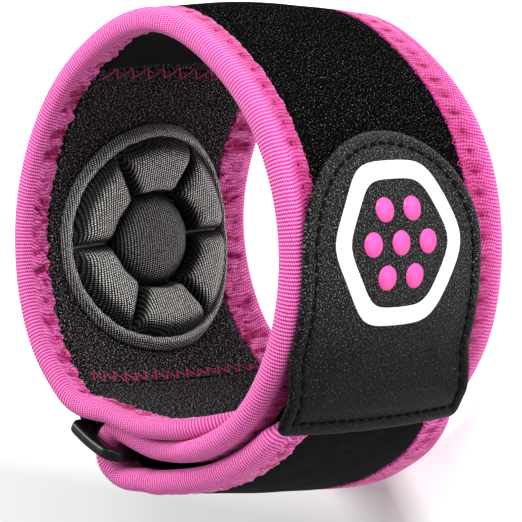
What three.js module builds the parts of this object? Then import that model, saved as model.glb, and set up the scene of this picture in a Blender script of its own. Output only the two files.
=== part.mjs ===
// Tennis elbow strap: a bound neoprene band that goes once round the forearm, back through
// a curved ring buckle, and closes with a leather tab on the outside of the loop.
// Millimetres, +Z up. The loop lies on its side: its axis is Z, its far rim rests on Z = 0
// and the rim that faces the viewer is at the top.
//
// Every piece of the strap is laid out flat first, with a length s along the band, a height z
// across it and a distance n out of its middle, and is then wrapped round the loop's course.

import * as THREE from 'three';

// Driving dimensions

const strapWidth = 65;          // across the band, rim to rim
const loopRadius = 46.5;        // middle of the band at the side of the loop
const faceThickness = 4.0;      // neoprene with its pile faces
const rimThickness = 5.2;       // over the edge binding
const bindingWall = 1.0;
const flangeWidth = 8.0;        // how far the binding reaches in from the edge
const rimFlat = 1.1;            // half width of the flat that the rim rests on
const gap = 0.3;                // between pieces that touch
const flapCorner = 22;          // corner radius of the free inner end
const crownHeight = 2.1;        // how far the middle of the band bows out past its rims
const pressed = 0.88;           // thickness left where the layers press on each other

const flapEndAngle = 308;       // degrees round the loop, from +X through +Y
const tuckFrom = 228;           // where the inner layer starts to leave the loop's line
const tuckTo = 251;             // and where it lies a whole layer further in
const foldAngle = 249;          // where the band turns back, a little past the buckle's bar
const foldRadius = 4.9;         // middle of the band in that turn
const settledAngle = 263;       // where the layers lie on each other again
const hookEndAngle = 324;       // end of the folded-back layer, under the tab
const foldWidth = strapWidth - 12.5;        // the band gathered to pass the buckle
const foldCentre = strapWidth / 2 + 1.7;    // height of its middle there
const hookEndWidth = strapWidth - 13;
const hookEndCentre = strapWidth / 2 + 2.9;
const gatherFrom = 300;         // where the band starts to narrow towards the buckle
const widenAfter = 20;          // length past the turn where it starts to widen again
const pressedTo = 312;          // the band is pressed over its inner end up to here
const relaxedFrom = 340;        // and has its whole thickness from here
const sewnFrom = 311;           // the end under the tab is sewn flat
const sewnTo = 321;
const sewnFlat = 0.8;           // thickness left there

const buckleThickness = 2.8;    // out from the loop's axis
const buckleBar = 2.9;          // width of its bars
const buckleWindow = 10.8;      // clear length between the two long bars, along the loop
const buckleSide = 3.1;         // width of its two short sides
const buckleLift = 0.7;         // how much further out its fixed bar stands
const buckleBevel = 0.75;
const barAngle = 252.5;         // its free bar
const barInset = 0.6;           // how far that bar lies inside the middle of the band's turn
const freeCorner = 4.2;         // corner radius at the free bar
const fixedCorner = 1.8;        // and at the fixed bar
const keeperWidth = foldWidth - 7;
const keeperPly = 0.9;
const keeperFrom = 213;
const keeperTurnFrom = -105;    // how far it goes round the fixed bar
const keeperTurnTo = 115;
const keeperStraight = 6.5;     // its straight run ends this many degrees before the bar

const panelTop = 123;           // fleece panel, between two zigzag seams
const panelBottom = 228.5;
const panelThickness = 0.8;

const padAngle = 182.7;
const padHeightOnStrap = strapWidth / 2 - 0.8;    // of the pad's middle
const padLength = 59.5;          // along the band
const padWidth = 47;            // across it
const padPlate = 1.0;
const padRimHeight = 3.2;
const padRimShare = 0.11;       // of the pad's half size
const padRimFoot = 0.45;        // height of the rim's straight foot, as a share
const petalCount = 6;
const petalHeight = 5.6;
const domeLength = 25.5;
const domeWidth = 22;
const domeHeight = 6.6;

const tabWidth = strapWidth - 13;
const tabCentre = strapWidth / 2 + 4.3;
const tabThickness = 1.7;
const tabBottomAngle = -41.5;
const tabTopAngle = 31.5;
const tabSettled = -22;         // from here up the tab lies on the band
const hookThickness = 0.7;
const hookInset = 6;
const hookFrom = -19;

// The loop as it was pulled tight: the middle of the band under each rim, and how much of
// the crown is left, at each angle. Near and far are shares of the loop's radius.
const loopRows = [
  { at: 0, near: 1.0, far: 0.946, crown: 1 },
  { at: 30, near: 1.013, far: 0.974, crown: 1 },
  { at: 60, near: 1.037, far: 0.991, crown: 1 },
  { at: 90, near: 1.084, far: 1.043, crown: 1 },
  { at: 120, near: 1.03, far: 1.006, crown: 1 },
  { at: 150, near: 0.998, far: 0.972, crown: 1 },
  { at: 180, near: 1.0, far: 0.974, crown: 1 },
  { at: 210, near: 1.017, far: 0.946, crown: 1 },
  { at: 226, near: 1.0, far: 0.922, crown: 0.8 },
  { at: 240, near: 0.982, far: 0.942, crown: 0.3 },
  { at: foldAngle, near: 0.975, far: 0.975, crown: 0 },
  { at: 256, near: 0.966, far: 0.974, crown: 0.05 },
  { at: settledAngle, near: 0.957, far: 0.975, crown: 0.5 },
  { at: 275, near: 0.948, far: 0.985, crown: 0.85 },
  { at: 290, near: 0.966, far: 0.992, crown: 1 },
  { at: 310, near: 0.992, far: 0.97, crown: 1 },
  { at: 335, near: 0.996, far: 0.955, crown: 1 },
];

// How far the folded-back layer stands off the layer under it, as shares of the rim.
const outerRows = [
  { at: foldAngle, near: 0, far: 0, crown: 0 },
  { at: 256, near: 0.2, far: 0.35, crown: 0.3 },
  { at: settledAngle, near: 0.46, far: 0.72, crown: 0.7 },
  { at: 270, near: 0.3, far: 0.68, crown: 0.9 },
  { at: 285, near: 0.09, far: 0.42, crown: 1 },
  { at: 296, near: 0.02, far: 0.38, crown: 1 },
  { at: 307, near: 0.08, far: 0.48, crown: 1 },
  { at: 313, near: 0.16, far: 0.34, crown: 1 },
  { at: 318, near: 0.12, far: 0.1, crown: 1 },
  { at: hookEndAngle, near: 0, far: 0, crown: 1 },
];

// Finishes

const pile = new THREE.MeshStandardMaterial({ color: 0x121113, roughness: 0.95, metalness: 0 });
const binding = new THREE.MeshStandardMaterial({ color: 0xe8449c, roughness: 0.7, metalness: 0 });
const fleece = new THREE.MeshStandardMaterial({ color: 0x1a191a, roughness: 1, metalness: 0 });
const meshKnit = new THREE.MeshStandardMaterial({ color: 0x2d2d2b, roughness: 0.8, metalness: 0 });
const leather = new THREE.MeshStandardMaterial({ color: 0x1e1e20, roughness: 0.5, metalness: 0 });
const plastic = new THREE.MeshStandardMaterial({ color: 0x09090a, roughness: 0.3, metalness: 0 });
const webbing = new THREE.MeshStandardMaterial({ color: 0x151515, roughness: 0.9, metalness: 0 });

// Small helpers

const radians = THREE.MathUtils.degToRad;
const lerp = THREE.MathUtils.lerp;
const ease = THREE.MathUtils.smoothstep;
const spread = (from, to, count) => Array.from({ length: count + 1 }, (_, i) => lerp(from, to, i / count));

const fullTurn = 360;
const rimHalf = rimThickness / 2;
const faceHalf = faceThickness / 2;
const coreHalf = rimHalf - bindingWall - gap;   // the band where the binding covers it
const coreInset = bindingWall + gap;
const faceInset = flangeWidth + gap;

// A smooth value between the rows of a table, by angle. A closed table runs on round the loop.
function readRows(rows, column, angle, closed) {
  const at = closed ? THREE.MathUtils.euclideanModulo(angle, fullTurn) : angle;
  const count = rows.length;
  const row = (i) => {
    if (!closed) return rows[Math.min(Math.max(i, 0), count - 1)];
    const turned = Math.floor(i / count);
    const source = rows[THREE.MathUtils.euclideanModulo(i, count)];
    return { at: source.at + turned * fullTurn, [column]: source[column] };
  };
  let index = rows.findLastIndex((candidate) => candidate.at <= at);
  if (!closed) index = Math.min(index, count - 2);
  const [before, start, end, after] = [-1, 0, 1, 2].map((step) => row(index + step));
  const slope = (a, b) => (b.at === a.at ? 0 : (b[column] - a[column]) / (b.at - a.at));
  const length = end.at - start.at;
  const t = (at - start.at) / length;
  const leaving = slope(before, end) * length;
  const arriving = slope(start, after) * length;
  const t2 = t * t;
  const t3 = t2 * t;
  return (2 * t3 - 3 * t2 + 1) * start[column] + (t3 - 2 * t2 + t) * leaving
    + (3 * t2 - 2 * t3) * end[column] + (t3 - t2) * arriving;
}

const loopAt = (column, angle) => readRows(loopRows, column, angle, true);
const pressedHalf = rimHalf * pressed;
const innerPitch = 2 * pressedHalf + gap;
const outerPitch = pressedHalf + rimHalf + gap;
const foldReach = loopRadius * loopAt('near', foldAngle) + foldRadius;
const barRadius = foldReach - barInset;

// The strap's course: a chain of stations from the free inner end to the end under the tab

function polar(angle, radius) {
  return new THREE.Vector2(radius * Math.cos(radians(angle)), radius * Math.sin(radians(angle)));
}

// On the loop itself. The first stretch is tucked one layer in, under the last one.
function loopStation(angle, tucked) {
  const place = (column) => polar(angle, loopRadius * loopAt(column, angle) - tucked * innerPitch);
  const squeeze = lerp(1, pressed, ease(angle, tuckFrom, tuckTo));
  return { near: place('near'), far: place('far'), crown: crownHeight * loopAt('crown', angle), squeeze };
}

// Before it reaches the buckle the band comes down over its own inner end.
function approachStation(angle) {
  const station = loopStation(angle, 0);
  station.squeeze = lerp(pressed, 1, ease(angle, pressedTo, relaxedFrom));
  return station;
}

function foldStation(share) {
  const centre = polar(foldAngle, foldReach);
  const turn = foldAngle - 180 + 180 * share;
  const place = centre.clone().add(polar(turn, foldRadius));
  return { near: place, far: place.clone(), crown: 0, squeeze: pressed };
}

// The folded-back layer runs back over the loop, so its crown bows the other way.
function outerStation(angle) {
  const loose = (column) => readRows(outerRows, column, angle, false);
  const settle = ease(angle, foldAngle, settledAngle);
  const pitch = lerp(2 * foldRadius, outerPitch, settle);
  const place = (column) => {
    const radius = loopRadius * loopAt(column, angle) + pitch + rimThickness * loose(column);
    return polar(angle, radius);
  };
  const squeeze = lerp(lerp(pressed, 1, settle), sewnFlat, ease(angle, sewnFrom, sewnTo));
  return { near: place('near'), far: place('far'), crown: -crownHeight * loose('crown'), squeeze };
}

function layCourse() {
  const step = 2.5;
  const foldParts = 12;
  const stations = [];
  const turns = (from, to) => spread(from, to, Math.round(Math.abs(to - from) / step));
  for (const angle of turns(flapEndAngle, 180)) {
    stations.push({ angle, ...loopStation(angle, ease(angle, tuckFrom, tuckTo)) });
  }
  for (const angle of turns(180, foldAngle - fullTurn).slice(1)) {
    stations.push({ angle, ...approachStation(angle + fullTurn) });
  }
  for (const share of spread(0, 1, foldParts).slice(1, -1)) {
    stations.push({ angle: foldAngle - fullTurn, ...foldStation(share) });
  }
  for (const angle of turns(foldAngle, hookEndAngle)) {
    stations.push({ angle: angle - fullTurn, ...outerStation(angle) });
  }
  let length = 0;
  stations.forEach((station, i) => {
    station.middle = station.near.clone().lerp(station.far, 0.5);
    if (i > 0) length += station.middle.distanceTo(stations[i - 1].middle);
    station.s = length;
  });
  stations.forEach((station, i) => {
    const before = stations[Math.max(i - 1, 0)].middle;
    const after = stations[Math.min(i + 1, stations.length - 1)].middle;
    const along = after.clone().sub(before).normalize();
    station.out = new THREE.Vector2(-along.y, along.x);
  });
  return stations;
}

const course = layCourse();
const strapLength = course[course.length - 1].s;
const foldStart = course.find((station) => station.angle === foldAngle - fullTurn).s;

// Where along the strap an angle of the loop is passed for the first time.
function lengthAt(angle) {
  const i = course.findIndex((station) => station.angle <= angle);
  const [a, b] = [course[i - 1], course[i]];
  return lerp(a.s, b.s, (angle - a.angle) / (b.angle - a.angle));
}

function stationAt(s) {
  const found = course.findIndex((station) => station.s >= s);
  const i = found < 0 ? course.length - 1 : Math.max(found, 1);
  const [a, b] = [course[i - 1], course[i]];
  const t = (s - a.s) / (b.s - a.s);
  return {
    near: a.near.clone().lerp(b.near, t),
    far: a.far.clone().lerp(b.far, t),
    out: a.out.clone().lerp(b.out, t).normalize(),
    crown: lerp(a.crown, b.crown, t),
    squeeze: lerp(a.squeeze, b.squeeze, t),
  };
}

// From the flat lay-out to the wrapped strap.
function wrap(s, z, n) {
  const here = stationAt(s);
  const share = z / strapWidth;
  const bow = here.crown * (1 - (2 * share - 1) ** 2);
  const place = here.far.clone().lerp(here.near, share);
  place.addScaledVector(here.out, bow + n * here.squeeze);
  return new THREE.Vector3(place.x, place.y, z);
}

// The strap's two edges in the flat lay-out, with its gathers.
function edges(s) {
  const gather = ease(s, lengthAt(gatherFrom - fullTurn), foldStart);
  const widen = ease(s, foldStart + widenAfter, strapLength);
  const width = lerp(lerp(strapWidth, foldWidth, gather), hookEndWidth, widen);
  const centre = lerp(lerp(strapWidth / 2, foldCentre, gather), hookEndCentre, widen);
  return { far: centre - width / 2, near: centre + width / 2 };
}

// The same edges moved in, with the rounded corners of the free end.
function insetEdges(s, inset) {
  const { far, near } = edges(s);
  const reach = Math.max(flapCorner - s, 0);
  const chord = Math.max((flapCorner - inset) ** 2 - reach ** 2, 0);
  const rounding = flapCorner - Math.sqrt(chord);
  const moved = s < flapCorner ? rounding : inset;
  return { far: far + moved, near: near - moved };
}

// Closed meshes

// Quads between rings of points. With closed set, the last ring joins the first.
function skin(rings, closed) {
  const size = rings[0].length;
  const positions = rings.flat().flatMap((point) => point.toArray());
  const index = [];
  const strips = closed ? rings.length : rings.length - 1;
  for (let i = 0; i < strips; i += 1) {
    const next = (i + 1) % rings.length;
    for (let j = 0; j < size; j += 1) {
      const side = (j + 1) % size;
      const [a, b, c, d] = [i * size + j, i * size + side, next * size + side, next * size + j];
      index.push(a, b, c, a, c, d);
    }
  }
  return { positions, index, last: (rings.length - 1) * size };
}

// A skin with a flat cap at each end, cut up by the section's own outline.
function loft(rings, contour) {
  const body = skin(rings, false);
  const clockwise = THREE.ShapeUtils.isClockWise(contour);
  for (const [a, b, c] of THREE.ShapeUtils.triangulateShape(contour, [])) {
    const [left, right] = clockwise ? [b, c] : [c, b];
    body.index.push(a, left, right, body.last + a, body.last + right, body.last + left);
  }
  return body;
}

// A skin that closes to a point at the bottom and at the top.
function dome(rings, bottom, top) {
  const body = skin(rings, false);
  const size = rings[0].length;
  const low = body.positions.length / 3;
  const high = low + 1;
  body.positions.push(...bottom.toArray(), ...top.toArray());
  for (let j = 0; j < size; j += 1) {
    const side = (j + 1) % size;
    body.index.push(side, j, low, body.last + j, body.last + side, high);
  }
  return body;
}

// A mesh whose faces point outwards, whichever way its rings were laid.
function makePiece(name, { positions, index }, material) {
  const corner = (i) => new THREE.Vector3().fromArray(positions, index[i] * 3);
  let volume = 0;
  for (let i = 0; i < index.length; i += 3) volume += corner(i).dot(corner(i + 1).cross(corner(i + 2)));
  const faces = volume > 0 ? index : index.toReversed();
  const geometry = new THREE.BufferGeometry();
  geometry.setAttribute('position', new THREE.Float32BufferAttribute(positions, 3));
  geometry.setIndex(faces);
  geometry.computeVertexNormals();
  const piece = new THREE.Mesh(geometry, material);
  piece.name = name;
  return piece;
}

// Places along the strap: close together in the fold, further apart round the loop.
function stepsAlong(from, to) {
  const loopStep = 6.3;
  const foldStep = 1.8;
  const foldLength = Math.PI * foldRadius;
  const marks = [from, foldStart, foldStart + foldLength, to].filter((mark) => mark >= from && mark <= to);
  const lengths = [];
  for (let i = 0; i + 1 < marks.length; i += 1) {
    const inFold = marks[i] === foldStart;
    const count = Math.max(Math.round((marks[i + 1] - marks[i]) / (inFold ? foldStep : loopStep)), 1);
    lengths.push(...spread(marks[i], marks[i + 1], count).slice(i === 0 ? 0 : 1));
  }
  return lengths;
}

const cornerSteps = 6;

// The band

function bandSection(s) {
  const core = insetEdges(s, coreInset);
  const open = s > faceInset + gap;
  const shoulder = 0.2;
  const covered = { far: lerp(core.far, core.near, shoulder), near: lerp(core.near, core.far, shoulder) };
  const face = open ? insetEdges(s, faceInset + gap) : covered;
  const half = open ? faceHalf : coreHalf;
  const chamfer = open ? half - coreHalf : 0;
  const lip = { far: face.far - chamfer, near: face.near + chamfer };
  const crossing = spread(face.near, face.far, 4);
  const top = [[core.near, coreHalf], [lip.near, coreHalf]];
  top.push(...crossing.map((z) => [z, half]), [lip.far, coreHalf], [core.far, coreHalf]);
  return [...top, ...top.toReversed().map(([z, n]) => [z, -n])];
}

function makeBand() {
  const cornerReach = flapCorner - coreInset;
  const corner = spread(90, 0, cornerSteps).map((a) => flapCorner - cornerReach * Math.sin(radians(a)));
  const shoulder = [faceInset, faceInset + 2 * gap];
  const straight = stepsAlong(flapCorner, strapLength).slice(1);
  const lengths = [...corner, ...shoulder, ...straight].sort((a, b) => a - b);
  const rings = lengths.map((s) => bandSection(s).map(([z, n]) => wrap(s, z, n)));
  const contour = bandSection(strapLength).map(([z, n]) => new THREE.Vector2(z, n));
  return makePiece('band_body', loft(rings, contour), pile);
}

// The binding, a folded tape that wraps both edges and the free end

const bindingSection = [
  [flangeWidth, rimHalf - 0.9 * bindingWall],
  [flangeWidth, rimHalf - 0.2 * bindingWall],
  [0.8 * flangeWidth, rimHalf],
  [1.2 * bindingWall, rimHalf],
  [0.3 * bindingWall, 0.75 * rimHalf],
  [0, rimFlat],
  [0, -rimFlat],
  [0.3 * bindingWall, -0.75 * rimHalf],
  [1.2 * bindingWall, -rimHalf],
  [0.8 * flangeWidth, -rimHalf],
  [flangeWidth, -rimHalf + 0.2 * bindingWall],
  [flangeWidth, -rimHalf + 0.9 * bindingWall],
  [bindingWall, -rimHalf + bindingWall],
  [bindingWall, rimHalf - bindingWall],
];

function makeBinding() {
  const straight = stepsAlong(flapCorner, strapLength);
  const outline = [];
  for (const s of straight.toReversed()) outline.push({ s, z: edges(s).near, inS: 0, inZ: -1 });
  const turn = (a, side, edge) => ({
    s: flapCorner * (1 - Math.sin(radians(a))),
    z: edge - side * flapCorner * (1 - Math.cos(radians(a))),
    inS: Math.sin(radians(a)),
    inZ: -side * Math.cos(radians(a)),
  });
  const { near, far } = edges(0);
  const across = spread(near - flapCorner, far + flapCorner, 3).slice(1, -1);
  outline.push(...spread(0, 90, cornerSteps).slice(1).map((a) => turn(a, 1, near)));
  outline.push(...across.map((z) => ({ s: 0, z, inS: 1, inZ: 0 })));
  outline.push(...spread(90, 0, cornerSteps).slice(0, -1).map((a) => turn(a, -1, far)));
  for (const s of straight) outline.push({ s, z: edges(s).far, inS: 0, inZ: 1 });
  const rings = outline.map((at) => bindingSection.map(([depth, n]) => (
    wrap(at.s + depth * at.inS, at.z + depth * at.inZ, n))));
  const contour = bindingSection.map(([depth, n]) => new THREE.Vector2(depth, n));
  return makePiece('edge_binding', loft(rings, contour), binding);
}

// The fleece panel on the inside, between its two seams

const panelFloor = -faceHalf - 1.5 * gap;
const panelFace = panelFloor - panelThickness;

function makePanel() {
  const from = lengthAt(panelBottom);
  const to = lengthAt(panelTop);
  const count = 15;
  const rings = spread(from, to, count).map((s) => {
    const { far, near } = insetEdges(s, faceInset + 2 * gap);
    const crossing = spread(near, far, 4);
    const lower = crossing.map((z) => wrap(s, z, panelFloor));
    const upper = crossing.toReversed().map((z) => wrap(s, z, panelFace));
    return [...lower, ...upper];
  });
  const contour = spread(1, 0, 4).map((z) => new THREE.Vector2(z, 1));
  contour.push(...spread(0, 1, 4).map((z) => new THREE.Vector2(z, 0)));
  return makePiece('fleece_panel', loft(rings, contour), fleece);
}

// The quilted pad: an oval tray with a soft rim, six petals and a round middle

const padS = lengthAt(padAngle);
const padFloor = panelFace - gap;
const petalFloor = padFloor - padPlate - 1.5 * gap;
const padPoint = (x, y, height) => wrap(padS + y, padHeightOnStrap - x, height);

function ovalRing(scale, height) {
  return spread(0, fullTurn, 32).slice(0, -1).map((a) => padPoint(
    scale * (padWidth / 2) * Math.cos(radians(a)),
    scale * (padLength / 2) * Math.sin(radians(a)),
    height,
  ));
}

function makePadBase() {
  const inner = 1 - padRimShare;
  const rings = [
    ovalRing(0.25, padFloor),
    ovalRing(0.6, padFloor),
    ovalRing(1, padFloor),
    ovalRing(1, padFloor - padRimFoot * padRimHeight),
    ovalRing(1 - 0.3 * padRimShare, padFloor - padRimHeight),
    ovalRing(1 - 0.7 * padRimShare, padFloor - padRimHeight),
    ovalRing(inner, padFloor - padPlate),
    ovalRing(0.6, padFloor - padPlate),
    ovalRing(0.25, padFloor - padPlate),
  ];
  const solid = dome(rings, padPoint(0, 0, padFloor), padPoint(0, 0, padFloor - padPlate));
  return makePiece('pad_base', solid, meshKnit);
}

// A soft mound over a closed outline in the pad's own plane.
function mound(outline, height) {
  const middle = outline.reduce((sum, p) => sum.add(p), new THREE.Vector2()).divideScalar(outline.length);
  const profile = [[0.5, 0], [0.96, 0], [1, 0.3], [0.92, 0.68], [0.68, 0.92], [0.34, 0.99]];
  const rings = profile.map(([scale, rise]) => outline.map((p) => {
    const q = middle.clone().lerp(p, scale);
    return padPoint(q.x, q.y, petalFloor - rise * height);
  }));
  const foot = padPoint(middle.x, middle.y, petalFloor);
  const crest = padPoint(middle.x, middle.y, petalFloor - height);
  return dome(rings, foot, crest);
}

// One petal, in from the tray's rim and out from the middle, with a seam gap at each side.
function petalOutline(index) {
  const outer = 1 - padRimShare - 2 * gap / padWidth;
  const start = (fullTurn / petalCount) * index;
  const end = start + fullTurn / petalCount;
  const oval = (a, halfWidth, halfLength) => new THREE.Vector2(
    halfWidth * Math.cos(radians(a)),
    halfLength * Math.sin(radians(a)),
  );
  const seam = (radius) => THREE.MathUtils.radToDeg(0.9 * gap / radius);
  const wide = padWidth / 2 * outer;
  const long = padLength / 2 * outer;
  const rim = spread(start + seam(wide), end - seam(wide), 7).map((a) => oval(a, wide, long));
  const near = seam(domeWidth / 2);
  const [rootWide, rootLong] = [domeWidth / 2 + 2 * gap, domeLength / 2 + 2 * gap];
  const root = spread(end - near, start + near, 4).map((a) => oval(a, rootWide, rootLong));
  return [...rim, ...root];
}

function makePetals() {
  return Array.from({ length: petalCount }, (_, i) => (
    makePiece(`pad_petal_${i + 1}`, mound(petalOutline(i), petalHeight), meshKnit)));
}

function makeDome() {
  const outline = spread(0, fullTurn, 24).slice(0, -1).map((a) => new THREE.Vector2(
    (domeWidth / 2) * Math.cos(radians(a)),
    (domeLength / 2) * Math.sin(radians(a)),
  ));
  return makePiece('pad_dome', mound(outline, domeHeight), meshKnit);
}

// The curved ring buckle: one section swept round a rounded oblong, bent to the loop

const ringLength = buckleWindow + 2 * buckleBar;
const ringWindowHeight = foldWidth + 4 * gap;

function ringPoint(along, z, n) {
  const angle = barAngle + THREE.MathUtils.radToDeg((along + buckleBar / 2) / barRadius);
  const lift = buckleLift * Math.max(-along - buckleBar, 0) / (ringLength - buckleBar);
  const place = polar(angle, barRadius + lift + n);
  return new THREE.Vector3(place.x, place.y, z);
}

function makeBuckle() {
  const halfZ = ringWindowHeight / 2 + buckleSide;
  const corners = [
    { s: -freeCorner, side: 1, radius: freeCorner, from: 0 },
    { s: fixedCorner - ringLength, side: 1, radius: fixedCorner, from: 90 },
    { s: fixedCorner - ringLength, side: -1, radius: fixedCorner, from: 180 },
    { s: -freeCorner, side: -1, radius: freeCorner, from: 270 },
  ];
  const outline = [];
  corners.forEach(({ s, side, radius, from }, i) => {
    const z = side * (halfZ - radius);
    for (const a of spread(from, from + 90, 3)) {
      const out = new THREE.Vector2(Math.cos(radians(a)), Math.sin(radians(a)));
      outline.push({ s: s + radius * out.x, z: z + radius * out.y, out });
    }
    const shortSide = i % 2 === 0;
    if (shortSide) {
      const next = corners[i + 1].s;
      for (const middle of spread(s, next, 3).slice(1, -1)) {
        outline.push({ s: middle, z: side * halfZ, out: new THREE.Vector2(0, side) });
      }
    }
  });
  const half = buckleThickness / 2;
  const bevel = buckleBevel;
  const rings = outline.map(({ s, z, out }) => {
    const across = lerp(buckleBar, buckleSide, Math.abs(out.y));
    const section = [
      [0, half - bevel], [bevel, half], [across - bevel, half], [across, half - bevel],
      [across, bevel - half], [across - bevel, -half], [bevel, -half], [0, bevel - half],
    ];
    return section.map(([depth, n]) => ringPoint(s - depth * out.x, foldCentre + z - depth * out.y, n));
  });
  return makePiece('buckle', skin(rings, true), plastic);
}

// The webbing loop that holds the buckle's fixed bar to the outside of the band

const fixedBarAngle = barAngle - THREE.MathUtils.radToDeg((buckleWindow + buckleBar) / barRadius);

function makeKeeper() {
  const faceRadius = (angle, z) => {
    const p = wrap(lengthAt(angle), z, faceHalf);
    return Math.hypot(p.x, p.y);
  };
  const halfPly = keeperPly / 2;
  const plyAngles = spread(keeperFrom, fixedBarAngle - keeperStraight, 4);
  const turnRadius = buckleThickness / 2 + 1.5 * gap + halfPly;
  const barCentre = polar(fixedBarAngle, barRadius + buckleLift);
  const sections = spread(-0.5, 0.5, 4).map((share) => {
    const z = foldCentre + share * keeperWidth;
    const under = plyAngles.map((a) => polar(a, faceRadius(a, z) + 2 * gap + halfPly));
    const over = plyAngles.map((a) => polar(a, faceRadius(a, z) + 3 * gap + 3 * halfPly));
    const round = spread(keeperTurnFrom, keeperTurnTo, 9).map((a) => {
      const outward = polar(fixedBarAngle, 1).multiplyScalar(turnRadius * Math.sin(radians(a)));
      const along = polar(fixedBarAngle + 90, 1).multiplyScalar(turnRadius * Math.cos(radians(a)));
      return barCentre.clone().add(outward).add(along);
    });
    const line = [...under, ...round, ...over.toReversed()];
    const sides = line.map((p, i) => {
      const ahead = line[Math.min(i + 1, line.length - 1)];
      const behind = line[Math.max(i - 1, 0)];
      const along = ahead.clone().sub(behind).normalize();
      const out = new THREE.Vector2(-along.y, along.x).multiplyScalar(halfPly);
      return [p.clone().add(out), p.clone().sub(out)];
    });
    const flat = [...sides.map((pair) => pair[0]), ...sides.map((pair) => pair[1]).toReversed()];
    return { flat, ring: flat.map((p) => new THREE.Vector3(p.x, p.y, z)) };
  });
  return makePiece('buckle_keeper', loft(sections.map(({ ring }) => ring), sections[0].flat), webbing);
}

// The leather tab and the hook patch under it, both laid over the outside of the loop

// Radius of the middle of the band, or of the folded-back layer, under a place on the tab.
function middleRadius(angle, z, station) {
  const here = station(angle + fullTurn);
  const share = z / strapWidth;
  const bow = Math.abs(here.crown) * (1 - (2 * share - 1) ** 2);
  return lerp(here.far.length(), here.near.length(), share) + bow;
}

function tabPoint(angle, z, n) {
  const onBand = middleRadius(angle, z, approachStation) + rimHalf + hookThickness;
  const hookEnd = hookEndAngle - fullTurn;
  const endAngle = Math.min(angle, hookEnd);
  const lift = middleRadius(endAngle, z, outerStation) - middleRadius(endAngle, z, approachStation);
  const onEnd = middleRadius(angle, z, approachStation) + lift + rimHalf * sewnFlat + gap;
  const radius = lerp(onEnd, onBand, ease(angle, hookEnd + 1, tabSettled)) + n;
  const place = polar(angle, radius);
  return new THREE.Vector3(place.x, place.y, z);
}

// A sheet with one round end, as sections that run across it.
function sheetSections(from, to, halfWidth, point, low, high) {
  const radius = middleRadius(0, tabCentre, approachStation) + rimHalf;
  const perDegree = radians(1) * radius;
  const round = halfWidth / perDegree;
  const straight = spread(from, to - round, Math.ceil((to - round - from) / 6));
  const end = spread(0, 84, 8).slice(1).map((a) => to - round + round * Math.sin(radians(a)));
  const angles = [...straight, ...end];
  return angles.map((angle) => {
    const past = Math.max(angle - (to - round), 0) / round;
    const half = halfWidth * Math.sqrt(Math.max(1 - past ** 2, 0));
    const crossing = spread(tabCentre - half, tabCentre + half, 6);
    const upper = crossing.map((z) => point(angle, z, high));
    const lower = crossing.toReversed().map((z) => point(angle, z, low));
    return [...upper, ...lower];
  });
}

function sheetContour() {
  const upper = spread(0, 1, 6).map((z) => new THREE.Vector2(z, 1));
  return [...upper, ...upper.toReversed().map((p) => new THREE.Vector2(p.x, 0))];
}

function makeTab() {
  const rings = sheetSections(tabBottomAngle, tabTopAngle, tabWidth / 2, tabPoint, 0, tabThickness);
  return makePiece('leather_tab', loft(rings, sheetContour()), leather);
}

function makeHookPatch() {
  const onBand = (angle, z, n) => {
    const place = polar(angle, middleRadius(angle, z, approachStation) + faceHalf + gap + n);
    return new THREE.Vector3(place.x, place.y, z);
  };
  const to = tabTopAngle - THREE.MathUtils.radToDeg(hookInset / loopRadius);
  const rings = sheetSections(hookFrom, to, tabWidth / 2 - hookInset, onBand, 0, hookThickness);
  return makePiece('hook_patch', loft(rings, sheetContour()), webbing);
}

// The strap, stood on its far rim with the middle of its outline at the origin

const strap = new THREE.Group();
strap.add(makeBand(), makeBinding(), makePanel(), makePadBase(), ...makePetals(), makeDome());
strap.add(makeBuckle(), makeKeeper(), makeTab(), makeHookPatch());

const outlineBox = new THREE.Box3().setFromObject(strap);
const outlineMiddle = outlineBox.getCenter(new THREE.Vector3());
strap.position.set(-outlineMiddle.x, -outlineMiddle.y, -outlineBox.min.z);

export default strap;
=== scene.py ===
# %% [markdown]
# # A tennis elbow strap, lesson by lesson
#
# The strap is a soft band with a stretchy ribbed edge, pulled through a curved buckle and
# closed with a leather tab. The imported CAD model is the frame: it says where every piece
# goes. Each lesson swaps one plain solid for a piece with the real one's cut and finish.

# %% Load the frame
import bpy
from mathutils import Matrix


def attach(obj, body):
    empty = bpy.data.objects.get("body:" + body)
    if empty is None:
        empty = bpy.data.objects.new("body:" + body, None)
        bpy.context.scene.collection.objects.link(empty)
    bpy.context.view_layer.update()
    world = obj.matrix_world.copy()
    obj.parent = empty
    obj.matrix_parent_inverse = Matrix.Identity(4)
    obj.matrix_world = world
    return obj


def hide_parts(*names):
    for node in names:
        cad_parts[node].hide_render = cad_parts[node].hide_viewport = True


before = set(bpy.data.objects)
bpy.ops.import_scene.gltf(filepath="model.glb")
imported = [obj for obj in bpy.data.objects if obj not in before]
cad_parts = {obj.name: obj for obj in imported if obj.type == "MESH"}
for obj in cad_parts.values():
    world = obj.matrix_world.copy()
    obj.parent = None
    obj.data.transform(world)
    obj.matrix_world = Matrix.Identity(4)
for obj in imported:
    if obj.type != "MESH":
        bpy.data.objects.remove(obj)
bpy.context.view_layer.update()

# %% The tools of the lesson
import math

import bmesh
import bpy
import numpy as np
from mathutils import Matrix, Vector

MM = 0.001

# %% [markdown]
# ## The strap's course
#
# A strap is cut flat and then bent, so it is easiest to model flat and bend last. Every
# place on it has three flat measures: s along the band, z across it, and n out of its
# middle. One function wraps them round the loop. The tables below are the loop's own
# shape: how far each rim of the band stands from the middle at each angle.

# %% The strap's measures, in millimetres and degrees
STRAP_WIDTH = 65.0
LOOP_RADIUS = 46.5
FACE_HALF = 2.0
RIM_HALF = 2.6
FLANGE = 8.0
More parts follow.
